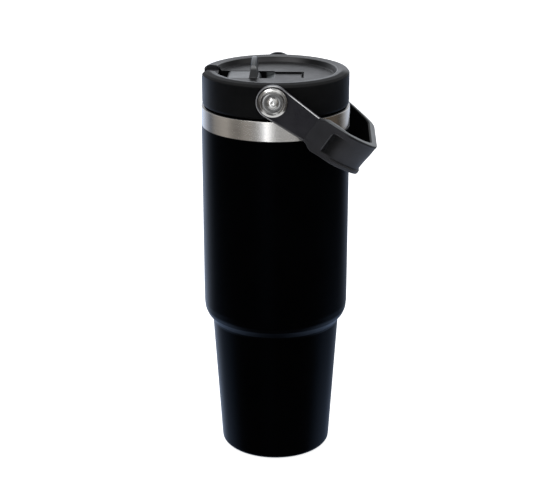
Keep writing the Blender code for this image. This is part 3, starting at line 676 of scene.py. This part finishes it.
done(put(turned([(3.0, 236.9, 0.25), (5.0, 236.9, 0.25), (5.0, 238.1, 0.25), (3.0, 238.1, 0.25)], 64),
         "spout_seal_skin", (SPOUT.x, 0, 0)), "lid", silicone.mat, "silicone", "spout_seal")
done(put(turned([(0, 201.2), (4.4, 201.45, 0.6), (5.0, 202.4, 0.4), (4.9, 202.7, 0.1), (1.2, 202.7, 0.1),
                 (1.2, 205.7, 0.1), (2.1, 206.0, 0.2), (1.5, 207.4, 0.4), (0, 207.6)], 48), "vent_valve_skin",
         (16, 0, 0)), "lid", silicone.mat, "silicone", "vent_valve")
done(put(turned([(2.3, 189.0, 0.15), (2.8, 189.0, 0.15), (3.0, 189.5, 0.3), (3.0, 199.5, 0.2), (4.6, 199.5, 0.3),
                 (4.6, 235.1, 0.2), (2.3, 235.1, 0.2)], 64), "straw_adapter_skin", (SPOUT.x, 0, 0)),
     "lid", straw_plastic.mat, "straw_plastic", "straw_adapter")
done(put(turned([(3.3, 12.0, 0.2), (4.1, 12.0, 0.2), (4.1, 14, 1), (4.1, 199.2, 0.2), (3.3, 199.2, 0.2)], 64),
         "straw_skin", (SPOUT.x, 0, 0)), "lid", straw_plastic.mat, "straw_plastic", "straw")

# ------------------------------------------------------------------ flip spout, about its hinge axis
TOP = top("spout") - SPOUT.z


def fin_mesh(half=9.5, stations=40):
    """The thumb fin, tapered in X, with a crest that arches along Y and a rounded ridge."""
    bm = bmesh.new()
    rings = []
    for i in range(stations + 1):
        y = half * (2 * i / stations - 1)
        h = 11.6 + (TOP - 11.65) * (1 - (y / half) ** 2)
        rings.append([bm.verts.new((x, y, z)) for x, z in (
            (-2.7, 2.6), (2.8, 2.6), (2.15, h - 0.9), (2.02, h - 0.45), (1.72, h - 0.14), (1.25, h), (-0.1, h),
            (-0.55, h - 0.14), (-0.85, h - 0.45), (-0.98, h - 0.9))])
    for a, b in zip(rings, rings[1:]):
        for k in range(10):
            bm.faces.new((a[k], a[(k + 1) % 10], b[(k + 1) % 10], b[k]))
    bm.faces.new(rings[0])
    bm.faces.new(rings[-1][::-1])
    return bm


spout = put(turned([(0, -9.7), (4.6, -9.7, 0.5), (4.6, 9.7, 0.5), (0, 9.7)], 96, axis="Y"), "spout_skin", tuple(SPOUT))
cut(spout, [(box(-16.5, -0.4, -9.5, 9.5, -3.5, 3.9, 2.2, "Y", 8), tuple(SPOUT), 0),
            (fin_mesh(), tuple(SPOUT), 0)], "UNION")
cut(spout, [(turned([(0, -25), (2.4, -25), (2.4, 12), (0, 12)], 48, axis="X"), tuple(SPOUT), 0),
            (turned([(0, -12), (1.5, -12), (1.5, -6), (0, -6)], 32, axis="Y"), tuple(SPOUT), 0),
            (turned([(0, 6), (1.5, 6), (1.5, 12), (0, 12)], 32, axis="Y"), tuple(SPOUT), 0)])
soften(spout, 0.28, 3)
done(spout, "spout", spout_plastic.mat, "spout_plastic", "spout", sharp=32)
for name, a, b in (("front", -13.1, -6.2), ("rear", 6.2, 13.1)):
    done(put(turned([(0, a), (1.2, a, 0.25), (1.2, b, 0.25), (0, b)], 32, axis="Y"), "spout_pin_%s_skin" % name,
             tuple(SPOUT)), "lid", pin_metal.mat, "pin_steel", "spout_pin_" + name)

# ------------------------------------------------------------------ bail pivots
for name, turn in (("front", math.pi), ("rear", 0.0)):
    for part, profile, mat, slot, seg, body in (
            ("pivot_screw_", [(0, 38.0), (2.7, 38.0, 0.3), (2.7, 49.6, 0.1), (8.3, 49.6, 0.3), (8.65, 50.0, 0.3),
                              (8.65, 50.75, 0.25), (7.2, 51.5, 0.4), (6.6, 50.85, 0.35),
                              (6.0, 50.6, 0.6), (5.2, 50.7, 0.3), (4.4, 50.7, 0.3), (3.5, 50.62, 0.2),
                              (3.1, 51.0, 0.4), (2.2, 51.5, 0.6), (1.3, 51.6, 0.2), (0.95, 51.2, 0.2), (0, 51.1)],
             screw_metal.mat, "screw_steel", 128, "lid"),
            ("pivot_washer_", [(3.2, 45.65, 0.1), (7.4, 45.65, 0.15), (7.4, 46.2, 0.15), (3.2, 46.2, 0.1)],
             nylon.mat, "washer_nylon", 96, "lid"),
            ("pivot_insert_", [(3.0, 37.2, 0.1), (4.2, 37.2, 0.2), (4.2, 40.4, 0.1), (3.95, 40.6, 0.1),
                               (3.95, 41.2, 0.1), (4.2, 41.4, 0.1), (4.2, 44.6, 0.2), (3.0, 44.6, 0.1)],
             brass.mat, "insert_brass", 64, "lid")):
        bm = turned(profile, seg, axis="Y")
        if turn:
            bmesh.ops.rotate(bm, cent=(0, 0, 0), matrix=Matrix.Rotation(turn, 3, "Z"), verts=bm.verts[:])
        done(put(bm, part + name + "_skin", tuple(PIVOT)), body, mat, slot, part + name, sharp=30)


# ------------------------------------------------------------------ bail handle, made flat about the pivot axis
def smoothstep(a, b, x):
    t = min(1.0, max(0.0, (x - a) / (b - a)))
    return t * t * (3 - 2 * t)


def bail_path(step=0.8):
    """The bend's outer face from the near arm to the far one, evenly spaced, as (x, y)."""
    half = [Vector(p) for p in ((12.0, 49.5), (20.0, 49.5), (28.0, 49.5), (36.5, 48.6), (44.5, 46.6), (50.5, 44.2),
                                (56.5, 40.6), (61.0, 37.2), (65.0, 33.6), (67.6, 30.6), (69.3, 27.4),
                                (70.05, 23.8), (70.15, 19.5), (70.15, 12.0), (70.15, 6.0))]
    knots = [Vector((p.x, -p.y)) for p in half] + [Vector((p.x, p.y)) for p in reversed(half)]
    fine = []
    for i in range(1, len(knots) - 2):
        z, a, b, c = knots[i - 1], knots[i], knots[i + 1], knots[i + 2]
        for k in range(24):
            s = k / 24
            fine.append(0.5 * ((2 * a) + (b - z) * s + (2 * z - 5 * a + 4 * b - c) * s * s
                               + (3 * a - z - 3 * b + c) * s ** 3))
    fine.append(knots[-2])
    fine = [Vector((min(p.x, 70.15), p.y)) for p in fine]
    lengths = [0.0]
    for a, b in zip(fine, fine[1:]):
        lengths.append(lengths[-1] + (b - a).length)
    count = int(lengths[-1] / step)
    out, j = [], 0
    for k in range(count + 1):
        want = lengths[-1] * k / count
        while j < len(lengths) - 2 and lengths[j + 1] < want:
            j += 1
        t = (want - lengths[j]) / max(1e-9, lengths[j + 1] - lengths[j])
        out.append(fine[j].lerp(fine[j + 1], t))
    return out


PATH = bail_path()
GRIP_START = 27.5
NORMALS = []
for i, p in enumerate(PATH):
    d = (PATH[min(i + 1, len(PATH) - 1)] - PATH[max(i - 1, 0)]).normalized()
    NORMALS.append(Vector((-d.y, d.x)))


def face_depth(p, v):
    """How far the grip's outer face lies under its outline: lips along both edges and a scoop on each arm."""
    run = smoothstep(37.0, 50.0, p.x)
    slope = 0.25 + 0.85 * smoothstep(6.0, -7.0, v)
    between = smoothstep(-9.5, -9.1, v) * (1 - smoothstep(7.6, 8.0, v))
    depth = run * slope * between
    neck = 0.42 * (1 - smoothstep(28.5, 35.0, p.x)) * (1 - smoothstep(7.1, 7.7, abs(v)))
    along, across = p.x, v
    scoop = (smoothstep(39.5, 40.3, along) * (1 - smoothstep(43.0, 52.0, along))
             * smoothstep(-8.9, -7.9, across) * (1 - smoothstep(5.0, 5.9, across)))
    corner = 1.0
    if along < 41.8:
        for edge, sign in ((-8.4, -1), (5.4, 1)):
            over = (across - (edge - sign * 1.8)) * sign
            back = 41.8 - along
            if over > 0 and back > 0:
                corner = 1 - smoothstep(1.6, 2.4, math.hypot(over, back))
    return depth + neck + (1.9 - depth) * scoop * corner


def grip_mesh():
    bm = bmesh.new()
    rings = []
    for i, p in enumerate(PATH):
        if p.x < GRIP_START and i != 0:
            near = PATH[i + 1] if p.y < 0 else PATH[i - 1]
            if near.x < GRIP_START:
                continue
        elif i == 0:
            continue
        p = Vector((max(p.x, GRIP_START), p.y))
        t = smoothstep(28.0, 35.0, p.x)
        late = smoothstep(39.0, 52.0, p.x)
        v0, v1 = -8.6 - 2.7 * t - 0.5 * late, 8.6 + 1.7 * t - 0.9 * late
        thick = 3.2 + 1.2 * t + 0.55 * smoothstep(61.0, 67.0, p.x)
        n = NORMALS[i]
        loop = []
        r = 0.85
        rows = 64
        for k in range(rows + 1):
            v = v0 + r + (v1 - v0 - 2 * r) * k / rows
            loop.append((face_depth(p, v), v))
        for k in range(1, 5):
            a = math.pi / 2 * k / 5
            loop.append((r * (1 - math.cos(a)), v1 - r + r * math.sin(a)))
        loop.append((r, v1))
        crown = [(thick - 1.1, v1)]
        for k in range(1, 5):
            a = math.pi / 2 * k / 5
            crown.append((thick - 1.1 + 1.1 * math.sin(a), v1 - 1.1 + 1.1 * math.cos(a)))
        loop += crown
        for k in range(13):
            v = v1 - 1.1 + (v0 + 1.1 - (v1 - 1.1)) * k / 12
            loop.append((thick - 0.12 * math.sin(math.pi * k / 12), v))
        for k in range(1, 5):
            a = math.pi / 2 * k / 5
            loop.append((thick - 1.1 + 1.1 * math.cos(a), v0 + 1.1 - 1.1 * math.sin(a)))
        loop.append((thick - 1.1, v0))
        loop.append((r, v0))
        for k in range(1, 5):
            a = math.pi / 2 * k / 5
            loop.append((r * (1 - math.sin(a)), v0 + r * (1 - math.cos(a))))
        rings.append([bm.verts.new((p.x + n.x * d, p.y + n.y * d, v)) for d, v in loop])
    m = len(rings[0])
    for a, b in zip(rings, rings[1:]):
        for k in range(m):
            bm.faces.new((a[k], b[k], b[(k + 1) % m], a[(k + 1) % m]))
    bm.faces.new(rings[0][::-1])
    bm.faces.new(rings[-1])
    return bm


def shade_sheet_mesh():
    """A thin strip let into the grip's inner face, a sheet of painted shade: near black and without gloss, it keeps
    that face black.
    """
    bm = bmesh.new()
    rings = []
    for i, p in enumerate(PATH):
        if p.x < 31.0:
            continue
        t = smoothstep(28.0, 35.0, p.x)
        late = smoothstep(39.0, 52.0, p.x)
        v0, v1 = -8.6 - 2.7 * t - 0.5 * late, 8.6 + 1.7 * t - 0.9 * late
        thick = 3.2 + 1.2 * t + 0.55 * smoothstep(61.0, 67.0, p.x)
        n = NORMALS[i]
        section = ([(thick - 0.4, v0 + 1.3), (thick - 0.4, v1 - 0.95), (thick + 0.02, v1 - 0.95)]
                   + [(thick + 0.07, v1 - 1.1 + (v0 + 1.5 - (v1 - 1.1)) * k / 10) for k in range(11)]
                   + [(thick + 0.02, v0 + 1.3)])
        rings.append([bm.verts.new((p.x + n.x * d, p.y + n.y * d, v)) for d, v in section])
    m = len(rings[0])
    for a, b in zip(rings, rings[1:]):
        for k in range(m):
            bm.faces.new((a[k], b[k], b[(k + 1) % m], a[(k + 1) % m]))
    bm.faces.new(rings[0][::-1])
    bm.faces.new(rings[-1])
    return bm


grip = put(grip_mesh(), "handle_grip_skin", tuple(PIVOT), TILT)
done(put(shade_sheet_mesh(), "handle_grip_lining", tuple(PIVOT), TILT), "handle", grip_lining.mat, "grip_rubber",
     "handle_grip", sharp=42)
done(grip, "handle", grip_rubber.mat, "grip_rubber", "handle_grip", sharp=42)


def arm_outline(count_eye=72, count_side=14):
    """Eye circle and the tangents to the arm's end, counter-clockwise, as (u, v)."""
    eye, end = 10.0, Vector((29.4, 8.45))
    reach = end.length
    touch = math.atan2(end.y, end.x) + math.acos(eye / reach)
    pts = []
    for k in range(count_eye + 1):
        a = touch + (2 * math.pi - 2 * touch) * k / count_eye
        pts.append(Vector((eye * math.cos(a), eye * math.sin(a))))
    steps = [k / count_side for k in range(1, count_side)]
    a, b = pts[-1], Vector((end.x, -end.y))
    lap = [(x - a.x) / (b.x - a.x) for x in (27.55, 27.75)]
    down = sorted([s for s in steps if s < lap[0]] + lap) + [1.0]
    pts += [a.lerp(b, s) for s in down]
    pts += [Vector((end.x, -end.y)).lerp(end, k / 12) for k in range(1, 12)]
    pts += [pts[0].lerp(end, s) for s in reversed(down)]
    return pts


OUTLINE = arm_outline()


def inset(points, by):
    n, out = len(points), []
    for i, p in enumerate(points):
        a, b = (p - points[i - 1]).normalized(), (points[(i + 1) % n] - p).normalized()
        m1, m2 = Vector((-a.y, a.x)), Vector((-b.y, b.x))
        m = (m1 + m2).normalized()
        out.append(p + m * (by / max(0.5, m.dot(m1))))
    return out


def arm(side):
    """One arm plate with its eye: a raised bead runs round the outer face."""
    bm = bmesh.new()
    layers = [(0.0, 46.9), (0.0, 49.05), (0.12, 49.32), (0.38, 49.48), (0.66, 49.40), (0.86, 49.18), (1.0, 49.05)]
    rings = []
    for by, y in [(0.35, 46.5), (0.1, 46.6)] + layers:
        # Past u 27.6 the plate runs on under the grip, without its bead.
        rings.append([bm.verts.new((q.x, side * (min(y, 48.9) if at.x > 27.6 else y), q.y))
                      for at, q in zip(OUTLINE, inset(OUTLINE, by) if by else OUTLINE)])
    for r, y in ((8.9, 49.05), (8.75, 48.85), (3.3, 48.85), (3.1, 48.7), (3.1, 46.7), (3.3, 46.5)):
        rings.append([bm.verts.new((q.normalized().x * r, side * y, q.normalized().y * r)) for q in OUTLINE])
    n = len(rings[0])
    for a, b in zip(rings, rings[1:] + rings[:1]):
        for k in range(n):
            j = (k + 1) % n
            bm.faces.new((a[k], a[j], b[j], b[k]))
    return bm


def core_mesh():
    """The stiff strip inside the grip, joined to both arms."""
    bm = bmesh.new()
    rings = []
    for i, p in enumerate(PATH):
        if p.x < 22.0:
            continue
        mid = 1.75 + 0.85 * smoothstep(28.0, 36.0, p.x)
        n = NORMALS[i]
        rings.append([bm.verts.new((p.x + n.x * d, p.y + n.y * d, v)) for d, v in
                      ((mid - 0.7, -6.6), (mid - 0.7, 6.0), (mid - 0.4, 6.3), (mid + 0.4, 6.3), (mid + 0.7, 6.0),
                       (mid + 0.7, -6.6), (mid + 0.4, -6.9), (mid - 0.4, -6.9))])
    m = len(rings[0])
    for a, b in zip(rings, rings[1:]):
        for k in range(m):
            bm.faces.new((a[k], b[k], b[(k + 1) % m], a[(k + 1) % m]))
    bm.faces.new(rings[0][::-1])
    bm.faces.new(rings[-1])
    return bm


handle = put(core_mesh(), "handle_frame_skin", tuple(PIVOT), TILT)
cut(handle, [(arm(-1), tuple(PIVOT), TILT), (arm(1), tuple(PIVOT), TILT)], "UNION")
done(handle, "handle", bail.mat, "bail_plastic", "handle_frame", sharp=32)

# ------------------------------------------------------------------ studio
scene = bpy.context.scene
scene.view_settings.view_transform = "Standard"

FLOOR = Paint("studio_floor", specular=0.2)
drift = FLOOR.noise(3, 3, 0.5)
FLOOR.colour(FLOOR.ramp(drift, [(0.3, (0.93, 0.93, 0.93)), (0.7, (0.95, 0.95, 0.95))]))
FLOOR.rough(FLOOR.ranged(drift, 0.3, 0.7, 0.8, 0.9)).bumps((drift, 0.01))
FLOOR.shader.inputs["Emission Color"].default_value = (1, 1, 1, 1)
FLOOR.shader.inputs["Emission Strength"].default_value = 0.85
bm = bmesh.new()
bmesh.ops.create_grid(bm, x_segments=8, y_segments=8, size=40000)
ground = put(bm, "floor", (0, 0, -0.05))
ground.data.materials.append(FLOOR.mat)
ground.visible_glossy = False


def world():
    """White to the camera; to everything else a studio: bright behind, dim in front, a soft box overhead."""
    w = bpy.data.worlds.new("studio")
    scene.world = w
    w.use_nodes = True
    t = w.node_tree
    t.nodes.clear()
    link, new = t.links.new, t.nodes.new

    def m(how, a, b=0.0, clamp=False):
        node = new("ShaderNodeMath")
        node.operation, node.use_clamp = how, clamp
        for socket, v in zip(node.inputs, (a, b)):
            if isinstance(v, bpy.types.NodeSocket):
                link(v, socket)
            else:
                socket.default_value = v
        return node.outputs[0]

    split = new("ShaderNodeSeparateXYZ")
    link(new("ShaderNodeTexCoord").outputs["Generated"], split.inputs[0])
    x, y, z = split.outputs
    turn = m("ADD", m("DIVIDE", m("ARCTAN2", x, m("MULTIPLY", y, -1.0)), 2 * math.pi), 0.5)
    ramp = new("ShaderNodeValToRGB")
    link(turn, ramp.inputs["Fac"])
    stops = ROUND
    while len(ramp.color_ramp.elements) < len(stops):
        ramp.color_ramp.elements.new(0.5)
    for element, (deg, c) in zip(ramp.color_ramp.elements, stops):
        element.position = (deg + 180) / 360
        element.color = (*c, 1.0)
    up = m("DIVIDE", m("ARCSINE", z), math.pi / 2)
    level = new("ShaderNodeValToRGB")
    link(m("ADD", m("MULTIPLY", up, 0.5), 0.5), level.inputs["Fac"])
    while len(level.color_ramp.elements) < len(HEIGHT):
        level.color_ramp.elements.new(0.5)
    for element, (deg, c) in zip(level.color_ramp.elements, HEIGHT):
        element.position = (deg + 90) / 180
        element.color = (c, c, c, 1.0)
    over = new("ShaderNodeValToRGB")
    link(m("ADD", m("MULTIPLY", up, 0.5), 0.5), over.inputs["Fac"])
    while len(over.color_ramp.elements) < len(OVERHEAD):
        over.color_ramp.elements.new(0.5)
    for element, (deg, c) in zip(over.color_ramp.elements, OVERHEAD):
        element.position = (deg + 90) / 180
        element.color = (c, c, c, 1.0)
    high = new("ShaderNodeValToRGB")
    link(turn, high.inputs["Fac"])
    while len(high.color_ramp.elements) < len(ROUND_HIGH):
        high.color_ramp.elements.new(0.5)
    for element, (deg, c) in zip(high.color_ramp.elements, ROUND_HIGH):
        element.position = (deg + 180) / 360
        element.color = (*c, 1.0)
    above = new("ShaderNodeMapRange")
    above.interpolation_type = "SMOOTHSTEP"
    link(z, above.inputs["Value"])
    for key, v in zip(("From Min", "From Max"), (-0.06, 0.14)):
        above.inputs[key].default_value = v
    belt = new("ShaderNodeMix")
    belt.data_type, belt.blend_type = "RGBA", "MIX"
    link(above.outputs[0], belt.inputs[0])
    link(ramp.outputs[0], belt.inputs[6])
    link(high.outputs[0], belt.inputs[7])
    both = new("ShaderNodeMix")
    both.data_type, both.blend_type = "RGBA", "MULTIPLY"
    both.inputs[0].default_value = 1.0
    link(belt.outputs[2], both.inputs[6])
    link(level.outputs[0], both.inputs[7])
    down = new("ShaderNodeMapRange")
    down.interpolation_type = "SMOOTHSTEP"
    link(y, down.inputs["Value"])
    for key, v in zip(("From Min", "From Max"), (-0.20, 0.30)):
        down.inputs[key].default_value = v
    tint = new("ShaderNodeMix")
    tint.data_type, tint.blend_type = "RGBA", "MIX"
    link(down.outputs[0], tint.inputs[0])
    tint.inputs[6].default_value = (*grey(0.02), 1.0)
    tint.inputs[7].default_value = (*grey(0.44, 0.55), 1.0)
    below = new("ShaderNodeMapRange")
    below.interpolation_type = "SMOOTHSTEP"
    link(z, below.inputs["Value"])
    for key, v in zip(("From Min", "From Max", "To Min", "To Max"), (-0.62, -0.36, 1.0, 0.0)):
        below.inputs[key].default_value = v
    under = new("ShaderNodeMix")
    under.data_type, under.blend_type = "RGBA", "MIX"
    link(below.outputs[0], under.inputs[0])
    link(both.outputs[2], under.inputs[6])
    link(tint.outputs[2], under.inputs[7])
    both = under
    total = new("ShaderNodeMix")
    total.data_type, total.blend_type = "RGBA", "ADD"
    total.inputs[0].default_value = 1.0
    total.clamp_result = False
    link(both.outputs[2], total.inputs[6])
    link(over.outputs[0], total.inputs[7])
    lit, seen, out = new("ShaderNodeBackground"), new("ShaderNodeBackground"), new("ShaderNodeOutputWorld")
    link(total.outputs[2], lit.inputs["Color"])
    seen.inputs["Color"].default_value = (1, 1, 1, 1)
    pick, path = new("ShaderNodeMixShader"), new("ShaderNodeLightPath")
    link(path.outputs["Is Camera Ray"], pick.inputs[0])
    link(lit.outputs[0], pick.inputs[1])
    link(seen.outputs[0], pick.inputs[2])
    link(pick.outputs[0], out.inputs["Surface"])


def grey(v, blue=0.0):
    return (v * (1 - 0.5 * blue), v, v * (1 + blue))


# Brightness round the studio below the horizon, then above it: degrees from the camera's side (-Y), + to +X.
ROUND = [(-180, grey(1.05, 0.35)), (-150, grey(1.0, 0.35)), (-137, grey(0.66, 0.3)), (-127, grey(0.30, 0.3)),
         (-117, grey(0.07, 0.3)), (-106, grey(0.02, 0.2)), (-88, grey(0.012)), (-24, grey(0.012)), (-16, grey(0.09, 0.5)),
         (-8, grey(0.09, 0.5)), (0, grey(0.012)), (100, grey(0.012)), (126, grey(0.02)), (137, grey(0.08, 0.4)),
         (146, grey(0.24, 0.35)), (168, grey(0.42, 0.3)), (180, grey(0.95, 0.35))]
ROUND_HIGH = [(-180, grey(1.5, 0.06)), (-145, grey(1.25, 0.06)), (-118, grey(0.40, 0.06)), (-90, grey(0.15, 0.05)),
              (-30, grey(0.08)), (40, grey(0.08)), (95, grey(0.14, 0.05)), (128, grey(0.40, 0.06)),
              (150, grey(1.1, 0.06)), (180, grey(1.5, 0.06))]
# How much of that shows at each height above the horizon.
HEIGHT = [(-90, 0.5), (-50, 1.0), (-25, 1.0), (10, 1.0), (45, 0.8), (90, 0.5)]
OVERHEAD = [(-90, 0.0), (40, 0.0), (60, 0.35), (90, 0.6)]
world()


def warm(v):
    return (v * 1.07, v, v * 0.92)


# What the bare metal sees round it, in degrees as above.
WALL = [(-180, grey(0.16)), (-151, grey(0.16)), (-140, grey(0.05)), (-131, warm(0.10)), (-117, grey(0.0)),
        (-107, warm(0.17)), (-92, warm(0.24)), (-78, warm(0.31)), (-70, warm(0.18)), (-62, warm(0.10)),
        (-55, warm(0.11)), (-48, warm(0.23)), (-36, warm(0.22)), (-28, grey(0.24)), (-20, grey(0.32)),
        (-16, grey(0.55)), (-13, grey(1.8)), (-9.5, grey(2.0)), (-6.5, grey(0.7)), (-3, grey(0.34)), (8, grey(0.31)),
        (34, grey(0.34)), (43, warm(0.15)), (60, warm(0.10)), (79, (0.065, 0.050, 0.036)),
        (109, (0.065, 0.050, 0.036)), (118, grey(0.0)), (124, warm(0.09)), (132, warm(0.21)), (142, grey(0.30)),
        (165, grey(0.30)), (180, grey(0.16))]


def reflector(receivers, radius=1600.0):
    """A thin glowing screen round the studio that only the bare metal picks up; all else passes through it."""
    mat = bpy.data.materials.new("studio_screen")
    mat.use_nodes = True
    t = mat.node_tree
    t.nodes.clear()
    split = t.nodes.new("ShaderNodeSeparateXYZ")
    t.links.new(t.nodes.new("ShaderNodeTexCoord").outputs["Object"], split.inputs[0])
    flip, angle, scale = (t.nodes.new("ShaderNodeMath") for _ in range(3))
    flip.operation, angle.operation, scale.operation = "MULTIPLY", "ARCTAN2", "MULTIPLY_ADD"
    t.links.new(split.outputs[1], flip.inputs[0])
    flip.inputs[1].default_value = -1.0
    t.links.new(split.outputs[0], angle.inputs[0])
    t.links.new(flip.outputs[0], angle.inputs[1])
    t.links.new(angle.outputs[0], scale.inputs[0])
    scale.inputs[1].default_value, scale.inputs[2].default_value = 1 / (2 * math.pi), 0.5
    ramp = t.nodes.new("ShaderNodeValToRGB")
    t.links.new(scale.outputs[0], ramp.inputs["Fac"])
    while len(ramp.color_ramp.elements) < len(WALL):
        ramp.color_ramp.elements.new(0.5)
    for element, (deg, c) in zip(ramp.color_ramp.elements, WALL):
        element.position = (deg + 180) / 360
        element.color = (*c, 1.0)
    under, pick = t.nodes.new("ShaderNodeMath"), t.nodes.new("ShaderNodeMix")
    under.operation, pick.data_type = "LESS_THAN", "RGBA"
    t.links.new(split.outputs[2], under.inputs[0])
    under.inputs[1].default_value = -1.5995
    t.links.new(under.outputs[0], pick.inputs[0])
    t.links.new(ramp.outputs["Color"], pick.inputs[6])
    pick.inputs[7].default_value = (*grey(0.72), 1.0)
    glow, clear = t.nodes.new("ShaderNodeEmission"), t.nodes.new("ShaderNodeBsdfTransparent")
    both, out = t.nodes.new("ShaderNodeAddShader"), t.nodes.new("ShaderNodeOutputMaterial")
    t.links.new(pick.outputs[2], glow.inputs["Color"])
    lift = t.nodes.new("ShaderNodeMapRange")
    t.links.new(split.outputs[2], lift.inputs["Value"])
    for key, v in zip(("From Min", "From Max", "To Min", "To Max"), (-0.40, 0.05, 1.0, 2.3)):
        lift.inputs[key].default_value = v
    t.links.new(lift.outputs[0], glow.inputs["Strength"])
    t.links.new(glow.outputs[0], both.inputs[0])
    t.links.new(clear.outputs[0], both.inputs[1])
    t.links.new(both.outputs[0], out.inputs["Surface"])
    bm = bmesh.new()
    low_ring, high_ring = [[bm.verts.new((radius * math.cos(2 * math.pi * k / 96), radius * math.sin(2 * math.pi * k / 96),
                                          z)) for k in range(96)] for z in (-1600.0, 1500.0)]
    for k in range(96):
        j = (k + 1) % 96
        bm.faces.new((low_ring[j], low_ring[k], high_ring[k], high_ring[j]))
    bm.faces.new(low_ring)
    screen = put(bm, "studio_screen", (0, 0, 200))
    screen.data.materials.append(mat)
    screen.visible_camera = screen.visible_diffuse = screen.visible_shadow = screen.visible_transmission = False
    group = bpy.data.collections.new("bare_metal")
    for obj in receivers:
        group.objects.link(obj)
    screen.light_linking.receiver_collection = group


reflector([o for o in bpy.data.objects if o.name in
           ("neck_band_skin", "inner_liner_skin", "base_plate_skin", "pivot_screw_front_skin", "pivot_screw_rear_skin",
            "spout_pin_front_skin", "spout_pin_rear_skin", "pivot_insert_front_skin", "pivot_insert_rear_skin")])


def panel(name, loc, aim, size, power, colour=(1, 1, 1)):
    light = bpy.data.lights.new(name, "AREA")
    light.shape, light.size, light.size_y = "RECTANGLE", size[0], size[1]
    light.energy, light.color = power, colour
    obj = bpy.data.objects.new(name, light)
    scene.collection.objects.link(obj)
    obj.location = loc
    obj.rotation_euler = (Vector(aim) - Vector(loc)).to_track_quat("-Z", "Y").to_euler()
    return obj


panel("key", (-0.55, -0.75, 1.25), (0, 0, 0.16), (0.7, 0.7), 5)
panel("fill", (0.85, -0.45, 0.9), (0, 0, 0.2), (0.6, 0.6), 2)

camera = bpy.data.cameras.new("camera")
camera.lens, camera.sensor_width = 88.85, 36.0
camera_object = bpy.data.objects.new("camera", camera)
scene.collection.objects.link(camera_object)
camera_object.location = (0.02867, -0.8209, 0.4282)
camera_object.rotation_euler = (math.radians(70.20), 0, math.radians(2.027))
scene.camera = camera_object
